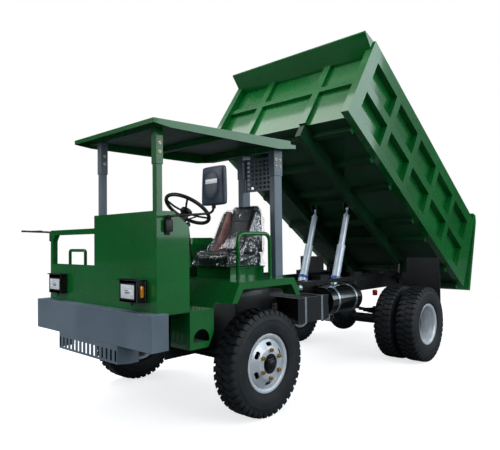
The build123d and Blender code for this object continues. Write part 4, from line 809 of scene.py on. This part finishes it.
# %% Amber side lamp and the row of holes
side_lamp = slab((0.688, 0.7065), (-2.866, -2.836), (1.028, 1.112), 0.008)
mounted(side_lamp, "amber_side_lamp", amber, "chassis")
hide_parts("indicators")
holes = [disc((0.7005, -2.822, 1.010 + 0.014 * k), (1, 0, 0), 0.0028, 0.0008, 10, 0.0002) for k in range(10)]
mounted(joined(holes), "lamp_side_holes", zinc, "chassis")
print("side holes:", 10)

# %% [markdown]
# ## Mirror
# The mirror's shell is a block with deeply rounded edges whose back is pushed out into a
# soft dome. Its glass looks rearward in a shallow rim, and a blank pale label is on its back.

# %% Mirror head, glass and label
slate_plastic = finish("slate_plastic", colour(52, 66, 82), colour(36, 47, 60), rough=0.42, patch=8, grain=700,
                       relief=0.0002)
head = slab((1.105, 1.335), (-2.655, -2.605), (1.660, 1.925), 0.022)
open_up(head)
pick(head, lambda centre, normal: normal.y < -0.95)
bpy.ops.mesh.inset(thickness=0.012, depth=0.008)
bpy.ops.mesh.inset(thickness=0.024, depth=0.006)
bpy.ops.mesh.select_all(action="DESELECT")
pick(head, lambda centre, normal: normal.y > 0.95)
bpy.ops.mesh.inset(thickness=0.010, depth=0)
bpy.ops.mesh.inset(thickness=0.003, depth=-0.004)
close_up(head, 50)
for vertex in head.data.vertices:
    share = (1.925 - vertex.co.z) / 0.265
    vertex.co.x = 1.220 + (vertex.co.x - 1.220) * (0.93 + 0.09 * share) + 0.004 * (1 - share)
smooth = head.modifiers.new("smooth", "SUBSURF")
smooth.levels = smooth.render_levels = 2
apply_all(head)
mounted(head, "mirror_head", slate_plastic, "chassis")
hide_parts("mirrors")
mirror_glass = slab((1.120, 1.320), (-2.613, -2.608), (1.678, 1.907), 0.002)
mounted(mirror_glass, "mirror_glass", bowl_silver, "chassis")
label = slab((1.178, 1.290), (-2.6700, -2.6685), (1.803, 1.833), 0.0006)
label_white = finish("blank_label", colour(232, 234, 236), colour(222, 225, 228), rough=0.4, patch=60)
mounted(label, "mirror_label", label_white, "chassis")
ridge = slab((1.186, 1.276), (-2.6705, -2.6680), (1.735, 1.740), 0.001)
mounted(ridge, "mirror_ridge", slate_plastic, "chassis")
print("mirror head:", len(head.data.polygons), "faces")

# %% Mirror arm, clamps and the bare arm on the right
arm = tube([(0.838, -2.715, 1.545), (0.838, -2.715, 1.600), (0.900, -2.705, 1.606), (1.100, -2.660, 1.606),
            (1.205, -2.632, 1.610), (1.215, -2.630, 1.660), (1.215, -2.630, 1.700)], 0.0085)
clamp = slab((0.8150, 0.8500), (-2.745, -2.685), (1.492, 1.580), 0.006)
knob = bar((0.838, -2.715, 1.575), (0.838, -2.715, 1.612), 0.016, 20, 0.004)
ear = slab((0.8145, 0.8250), (-2.735, -2.695), (1.470, 1.600), 0.003)
collar = bar((1.215, -2.630, 1.640), (1.215, -2.630, 1.668), 0.014, 20, 0.004)
far_clamp = slab((-0.850, -0.8145), (-2.805, -2.755), (1.440, 1.530), 0.006)
far_arm = tube([(-0.832, -2.780, 1.490), (-0.834, -2.781, 1.522), (-0.900, -2.790, 1.528), (-1.150, -2.850, 1.538),
                (-1.272, -2.878, 1.545)], 0.009)
blade = slab((-1.272, -1.000), (-2.832, -2.796), (1.534, 1.546), 0.004)
blade.data.transform(Matrix.Translation((-1.0, -2.814, 1.54)) @ Matrix.Rotation(radians(13), 4, "Z")
                     @ Matrix.Translation((1.0, 2.814, -1.54)))
arms = mounted(joined([arm, clamp, knob, ear, collar, far_clamp, far_arm, blade]), "mirror_arms", soft_black,
               "chassis")
print("mirror arms:", len(arms.data.polygons), "faces")

# %% [markdown]
# ## Steering wheel and dash
# The wheel's rim is a thick ring in soft black, on four flat spokes with a round horn pad.
# It lies over a dark instrument box at the cowl's edge. Only the wheel turns.

# %% Steering wheel
WHEEL_AT = Vector((0.480, -2.250, 1.690))
COLUMN = Vector((0, sin(radians(35)), cos(radians(35))))
across = Vector((1, 0, 0))
up_rim = COLUMN.cross(across)
rim = ring_of(WHEEL_AT, COLUMN, 0.1945, 0.0155)
spokes = []
for k in range(4):
    turn = radians(45 + 90 * k)
    outward = across * cos(turn) + up_rim * sin(turn)
    spokes.append(tube([WHEEL_AT - COLUMN * 0.030 + outward * 0.030, WHEEL_AT - COLUMN * 0.028 + outward * 0.090,
                        WHEEL_AT - COLUMN * 0.012 + outward * 0.150, WHEEL_AT + outward * 0.190], 0.0085))
pad = bar(WHEEL_AT - COLUMN * 0.045, WHEEL_AT - COLUMN * 0.006, 0.050, 40, 0.012)
wheel = mounted(joined([rim, pad] + spokes), "steering_rim", soft_black, "steering_wheel")
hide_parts("steering_wheel")
print("steering wheel:", len(wheel.data.polygons), "faces")

# %% Column shroud and instrument box
shroud = bar(WHEEL_AT - COLUMN * 0.300, WHEEL_AT - COLUMN * 0.062, 0.040, 32, 0.008)
instruments = slab((0.330, 0.640), (-2.560, -2.400), (1.520, 1.628), 0.016)
open_up(instruments)
pick(instruments, lambda centre, normal: normal.z > 0.9)
bpy.ops.transform.resize(value=(0.86, 0.62, 1))
bpy.ops.transform.translate(value=(0, -0.020, 0))
close_up(instruments, 40)
stalk = tube([WHEEL_AT - COLUMN * 0.110 + across * 0.030, WHEEL_AT - COLUMN * 0.105 + across * 0.110,
              WHEEL_AT - COLUMN * 0.085 + across * 0.170], 0.006)
mounted(joined([shroud, instruments, stalk]), "dash_box", soft_black, "chassis")
gauges = [disc((x, -2.4165, 1.575), (0, 1, 0.25), 0.026, 0.006, 28, 0.001) for x in (0.415, 0.485, 0.555)]
mounted(joined(gauges), "gauges", glass, "chassis")
print("gauges:", 3)

# %% [markdown]
# ## Control levers
# Two black levers stand in front of the engine cover, each with a ball on top.

# %% Levers
levers = []
for x, y in ((0.150, -1.975), (0.200, -1.955)):
    levers.append(tube([(x, y, 1.000), (x, y - 0.010, 1.200), (x + 0.010, y - 0.050, 1.420), (x + 0.012, y - 0.070, 1.560)],
                       0.009))
    bpy.ops.object.select_all(action="DESELECT")
    bpy.ops.mesh.primitive_uv_sphere_add(segments=24, ring_count=14, radius=0.024,
                                         location=(x + 0.012, y - 0.072, 1.575))
    knob = settle(bpy.context.object)
    close_up(knob, 60)
    levers.append(knob)
mounted(joined(levers), "control_levers", soft_black, "chassis")
print("levers: 2")

# %% [markdown]
# ## Seat
# The seat has a black cushion and back, with brown side bolsters that rise from the
# cushion's front to the top of the back. Each pad starts as a block with a rounded shape,
# slightly too small, and a cloth simulation with pressure inside and no gravity swells it.
# A cap on how far a point may move keeps it inside the seat's own space. Seams come last.


# %% A helper that swells a pad
def puffed(piece, voxel, cap, pressure=4.0):
    """Swells a closed form with a cloth simulation and keeps each point near its start."""
    piece.data.remesh_voxel_size = voxel
    only(piece)
    bpy.ops.object.voxel_remesh()
    start = [vertex.co.copy() for vertex in piece.data.vertices]
    swell = piece.modifiers.new("swell", "CLOTH")
    swell.settings.use_pressure = True
    swell.settings.uniform_pressure_force = pressure
    swell.settings.effector_weights.gravity = 0
    for moment in range(1, 21):
        bpy.context.scene.frame_set(moment)
    apply_all(piece)
    bpy.context.scene.frame_set(1)
    for vertex, place in zip(piece.data.vertices, start):
        moved = vertex.co - place
        if moved.length > cap:
            vertex.co = place + moved.normalized() * cap
    smooth = piece.modifiers.new("smooth", "SMOOTH")
    smooth.factor, smooth.iterations = 0.5, 4
    apply_all(piece)
    close_up(piece, 180)
    return piece


def sewn(piece, lines, depth=0.004, width=0.006):
    """Presses seams into a pad. Each line is a test that gives a point's distance from it."""
    for vertex in piece.data.vertices:
        for line in lines:
            away = line(vertex.co)
            if away is not None and away < width * 3:
                vertex.co -= vertex.normal * depth * 2.718 ** (-(away / width) ** 2)
    return piece


def drawn_up(base_x, base_y, base_z, stages, edge=0.012):
    """A block whose top is pulled up in stages. Each stage is (dy, dz, x scale, y scale)."""
    piece = slab(base_x, base_y, base_z, 0.001)
    open_up(piece)
    for dy, dz, wide, deep in stages:
        shape = bmesh.from_edit_mesh(piece.data)
        highest = max(face.calc_center_median().z for face in shape.faces)
        for face in shape.faces:
            face.select_set(face.normal.z > 0.5 and face.calc_center_median().z > highest - 0.004)
        bmesh.update_edit_mesh(piece.data)
        bpy.ops.mesh.extrude_region_move(TRANSFORM_OT_translate={"value": (0, dy, dz)})
        bpy.ops.transform.resize(value=(wide, deep, 1))
    close_up(piece)
    soften(piece, edge, 3, 35)
    return piece


# %% Cushion, back and bolsters
vinyl = finish("black_vinyl", colour(30, 33, 40), colour(20, 22, 28), rough=0.36, coat=0.1, patch=10, grain=520,
               relief=0.0005, spread=0.1)
brown_vinyl = finish("brown_vinyl", colour(206, 156, 148), colour(164, 112, 106), rough=0.45, patch=9, grain=520,
                     relief=0.0005, spread=0.1)
cushion = drawn_up((0.262, 0.678), (-1.995, -1.560), (1.203, 1.215),
                   [(0, 0.050, 1.0, 1.0), (0, 0.040, 0.98, 0.99), (0, 0.020, 0.93, 0.95)], 0.014)
puffed(cushion, 0.0065, 0.012)
sewn(cushion, [lambda p: abs(abs(p.x - 0.470) - 0.130) if p.z > 1.28 else None,
               lambda p: abs(p.y + 1.880) if p.z > 1.28 and abs(p.x - 0.47) < 0.13 else None,
               lambda p: abs(p.y + 1.790) if p.z > 1.28 and abs(p.x - 0.47) < 0.13 else None])
mounted(cushion, "seat_cushion", vinyl, "chassis")
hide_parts("seat")
back = drawn_up((0.322, 0.618), (-1.655, -1.560), (1.325, 1.340),
                [(0.020, 0.150, 1.0, 0.95), (0.028, 0.150, 0.99, 0.92), (0.022, 0.090, 0.96, 0.86),
                 (0.004, 0.018, 0.90, 0.74)], 0.014)
puffed(back, 0.0065, 0.010)
sewn(back, [lambda p: abs(p.z - 1.480) if p.y < -1.60 else None, lambda p: abs(p.z - 1.600) if p.y < -1.575 else None])
mounted(back, "seat_back", vinyl, "chassis")
bolsters = []
for x in ((0.262, 0.322), (0.618, 0.678)):
    lean = 0.010 if x[0] < 0.47 else -0.010
    bolster = drawn_up(x, (-1.840, -1.545), (1.315, 1.330),
                       [(0.042, 0.140, 0.95, 0.72), (0.034, 0.140, 0.92, 0.66), (0.018, 0.080, 0.85, 0.60),
                        (0.006, 0.018, 0.75, 0.60)], 0.012)
    puffed(bolster, 0.0065, 0.008)
    bolsters.append(bolster)
sides = mounted(joined(bolsters), "seat_bolsters", brown_vinyl, "chassis")
# only the bolsters' inner faces are brown; their outer sides are black like the back
sides.data.materials.append(vinyl)
for face in sides.data.polygons:
    inward = -1 if face.center.x > 0.47 else 1
    face.material_index = 0 if face.normal.x * inward > 0.30 else 1
print("seat:", sum(len(piece.data.polygons) for piece in (cushion, back, sides)), "faces")

# %% [markdown]
# ## Clear wrap over the seat
# The new seat is still in its clear plastic bag. The bag starts as a loose shell round the
# seat. As cloth it has a few percent more stuff than it needs, so it folds and creases
# where it falls on the pads; its open hem is held round the cushion's foot. Clear film
# hardly shows except where it mirrors a light, so its finish is a bright mirror that is
# mostly see-through, and a little less so along its creases.

# %% Clear film
film = finish("clear_film", colour(242, 246, 250), colour(226, 232, 238), metal=1.0, rough=0.18, patch=30,
              grain=45, relief=0.0011, spread=0.06)
tree = film.node_tree
place = tree.nodes.new("ShaderNodeTexCoord")
stretch = tree.nodes.new("ShaderNodeMapping")
stretch.inputs["Scale"].default_value = (30.0, 30.0, 8.0)
creases = tree.nodes.new("ShaderNodeTexNoise")
creases.inputs["Detail"].default_value = 6
creases.inputs["Distortion"].default_value = 1.2
haze = tree.nodes.new("ShaderNodeMapRange")
haze.inputs["From Min"].default_value, haze.inputs["From Max"].default_value = 0.50, 0.70
haze.inputs["To Min"].default_value, haze.inputs["To Max"].default_value = 0.08, 0.45
tree.links.new(place.outputs["Object"], stretch.inputs["Vector"])
tree.links.new(stretch.outputs["Vector"], creases.inputs["Vector"])
tree.links.new(creases.outputs["Fac"], haze.inputs["Value"])
tree.links.new(haze.outputs["Result"], tree.nodes["Principled BSDF"].inputs["Alpha"])
print("film:", film.name)

# %% Hang the bag and let it fall on the seat
bag = drawn_up((0.242, 0.698), (-2.022, -1.524), (1.208, 1.212),
               [(0, 0.130, 1.0, 1.0), (0.115, 0.150, 0.99, 0.50), (0.052, 0.170, 0.97, 0.62), (0.022, 0.105, 0.90, 0.62)],
               0.020)
bag.data.remesh_voxel_size = 0.012
only(bag)
bpy.ops.object.voxel_remesh()
open_up(bag)
pick(bag, lambda centre, normal: centre.z < 1.216 and normal.z < -0.5)
bpy.ops.mesh.delete(type="FACE")
close_up(bag, 180)
hem = bag.vertex_groups.new(name="hem")
hem.add([vertex.index for vertex in bag.data.vertices if vertex.co.z < 1.226], 1.0, "REPLACE")
cut_area = sum(face.area for face in bag.data.polygons)
pads = (cushion, back, sides)
for pad in pads:
    pad.modifiers.new("solid", "COLLISION")
    pad.collision.thickness_outer = 0.004
fall = bag.modifiers.new("fall", "CLOTH")
fall.settings.mass = 0.05
fall.settings.tension_stiffness = fall.settings.compression_stiffness = 12
fall.settings.bending_stiffness = 0.02
fall.settings.shrink_min = -0.07
fall.settings.vertex_group_mass = "hem"
fall.collision_settings.distance_min = 0.004
for moment in range(1, 26):
    bpy.context.scene.frame_set(moment)
apply_all(bag)
bpy.context.scene.frame_set(1)
for pad in pads:
    pad.modifiers.remove(pad.modifiers["solid"])

# the empty corner of the bag stands up behind the seat's outer shoulder
CORNER, PEAK = Vector((0.672, -1.540, 1.752)), Vector((0.700, -1.506, 1.768))
for vertex in bag.data.vertices:
    near = (vertex.co - CORNER).length / 0.075
    if near < 1:
        vertex.co += (PEAK - vertex.co) * 0.75 * (1 - near) ** 1.5
finer = bag.modifiers.new("finer", "SUBSURF")
finer.levels = finer.render_levels = 1
apply_all(bag)
mounted(bag, "clear_bag", film, "chassis")
print("bag:", len(bag.data.polygons), "faces; area", round(sum(face.area for face in bag.data.polygons), 3),
      "from", round(cut_area, 3))

# %% [markdown]
# ## Hoist finish
# The hoist's stages are painted pale silver, with a blue band round the top of each barrel
# and a narrow bright gland where one stage slides out of the next. Bands and glands ride on
# the stage that carries them, so they follow it as the bed comes down.



# %% A helper that makes a thin sleeve
def sleeve(start, end, outer, inner):
    """A ring of flat section round a line, hollow so that the stage inside can slide."""
    piece = bar(start, end, outer, 48, 0.0015)
    over = (end - start).normalized() * 0.01
    cutter = bar(start - over, end + over, inner, 48, 0.0005)
    cut = piece.modifiers.new("bore", "BOOLEAN")
    cut.object, cut.operation, cut.solver = cutter, "DIFFERENCE", "EXACT"
    apply_all(piece)
    bpy.data.objects.remove(cutter)
    close_up(piece, 30)
    return piece


# %% Hoist paint, bands and glands
hoist_silver = finish("hoist_silver", colour(206, 219, 230), colour(184, 199, 212), metal=0.25, rough=0.3, coat=0.3,
                      patch=9, grain=120, relief=0.0002)
blue = finish("blue_band", colour(40, 96, 176), colour(28, 78, 150), rough=0.35, coat=0.2, patch=20)
HOIST_FOOT = (0.092, 0.500)
HOIST_EYE = (0.5488, 1.8192)
reach = hypot(HOIST_EYE[0] - HOIST_FOOT[0], HOIST_EYE[1] - HOIST_FOOT[1])
hoist_line = Vector((0, (HOIST_EYE[0] - HOIST_FOOT[0]) / reach, (HOIST_EYE[1] - HOIST_FOOT[1]) / reach))
for side, word in ((1, "left"), (-1, "right")):
    foot = Vector((side * 0.245, HOIST_FOOT[0], HOIST_FOOT[1]))
    for stage in ("barrel", "outer_stage", "inner_stage", "rod"):
        coat(nodes[f"hoist_{stage}_{word}"], hoist_silver)
    band = sleeve(foot + hoist_line * 0.470, foot + hoist_line * 0.506, 0.0625, 0.0585)
    mounted(band, f"{word}_blue_band", blue, f"hoist_barrel_{word}")
    for stage, low, high, radius in (("outer_stage", 0.886, 0.908, 0.0520), ("inner_stage", 1.292, 1.311, 0.0390)):
        gland = sleeve(foot + hoist_line * low, foot + hoist_line * high, radius, radius - 0.004)
        mounted(gland, f"{word}_{stage}_gland", hoist_silver, f"hoist_{stage}_{word}")
print("hoist bands and glands: 6")

# %% [markdown]
# ## Tread plate
# The steps and the deck are covered with plate rolled with raised bars, which lie in pairs
# at right angles. One bar is a small block; its copies are laid out in rows.

# %% Tread bars on the step floors
tread_green = finish("worn_tread", colour(120, 150, 128), colour(58, 116, 74), rough=0.35, coat=0.2, patch=14,
                     grain=120, relief=0.0002)


def treads(name, x, y, z, material, pitch=0.034):
    """Rows of raised bars over a flat area, each axis given as (low, high)."""
    bpy.ops.object.select_all(action="DESELECT")
    bpy.ops.mesh.primitive_cube_add(size=1)
    one = bpy.context.object
    one.scale = (0.020, 0.0045, 0.0016)
    settle(one)
    open_up(one)
    pick(one, lambda centre, normal: normal.z > 0.9)
    bpy.ops.transform.resize(value=(0.7, 0.5, 1))
    close_up(one, 20)
    bars = []
    for i in range(int((x[1] - x[0]) / pitch)):
        for j in range(int((y[1] - y[0]) / pitch)):
            turn = radians(45 if (i + j) % 2 else -45)
            bars.append(copied(one, Matrix.Translation((x[0] + (i + 0.5) * pitch, y[0] + (j + 0.5) * pitch, z + 0.0006))
                               @ Matrix.Rotation(turn, 4, "Z")))
    bpy.data.objects.remove(one)
    return mounted(joined(bars), name, material, "chassis")


count = 0
for side, word in ((1, "left"), (-1, "right")):
    lo, hi = sorted((side * 0.470, side * 0.800))
    plate = treads(f"{word}_step_treads", (lo, hi), (-2.490, -2.345), 0.9115, tread_green)
    count += len(plate.data.polygons) // 6
print("tread bars:", count)

# %% [markdown]
# ## Dark hardware under the cab
# Behind the step box the photograph shows no daylight: a splash panel closes the side of
# the frame there, and the foothold has a tread plate with a back. Filler caps, brake pipes
# along the rail and the red bump stop over the rear spring are small, but each is a mark
# that the eye finds against the black.

# %% Splash panels, footholds, caps, pipes and bump stops
for side, word in ((1, "left"), (-1, "right")):
    def across_x(low, high):
        return sorted((side * low, side * high))

    panels = [slab(across_x(0.485, 0.490), (-2.500, -2.205), (0.500, 0.900), 0.001),
              slab(across_x(0.485, 0.490), (-2.205, -1.720), (0.500, 0.960), 0.001),
              slab(across_x(0.485, 0.490), (-1.720, -1.250), (0.760, 0.960), 0.001),
              slab(across_x(0.590, 0.594), (-2.505, -2.335), (0.668, 0.898), 0.001)]
    mounted(joined(panels), f"{word}_splash_panels", black, "chassis")
    treads(f"{word}_foothold_treads", across_x(0.600, 0.805), (-2.500, -2.350), 0.6665, tread_green)
    pipes = [tube([(side * 0.4865, -1.200, z), (side * 0.4865, -0.600, z), (side * 0.4865, 0.000, z - 0.002),
                   (side * 0.4865, 0.560, z)], 0.005) for z in (0.952, 0.936)]
    mounted(joined(pipes), f"{word}_brake_pipes", iron, "chassis")
    stop = bar((side * 0.470, 0.790, 0.722), (side * 0.470, 0.790, 0.790), 0.030, 28, 0.010)
    stop_red = bpy.data.materials.get("red_rubber") or finish("red_rubber", colour(190, 30, 30), colour(150, 18, 20),
                                                              rough=0.5, patch=30)
    mounted(stop, f"{word}_bump_stop", stop_red, "chassis")
caps = [bar((0.620, -0.960, 0.935), (0.620, -0.960, 0.972), 0.042, 36, 0.006),
        bar((0.620, -0.960, 0.972), (0.620, -0.960, 0.980), 0.030, 6, 0.002),
        bar((0.600, -0.320, 0.930), (0.600, -0.320, 0.966), 0.038, 36, 0.006)]
mounted(joined(caps), "filler_caps", steel, "chassis")
print("hardware under the cab is in place")
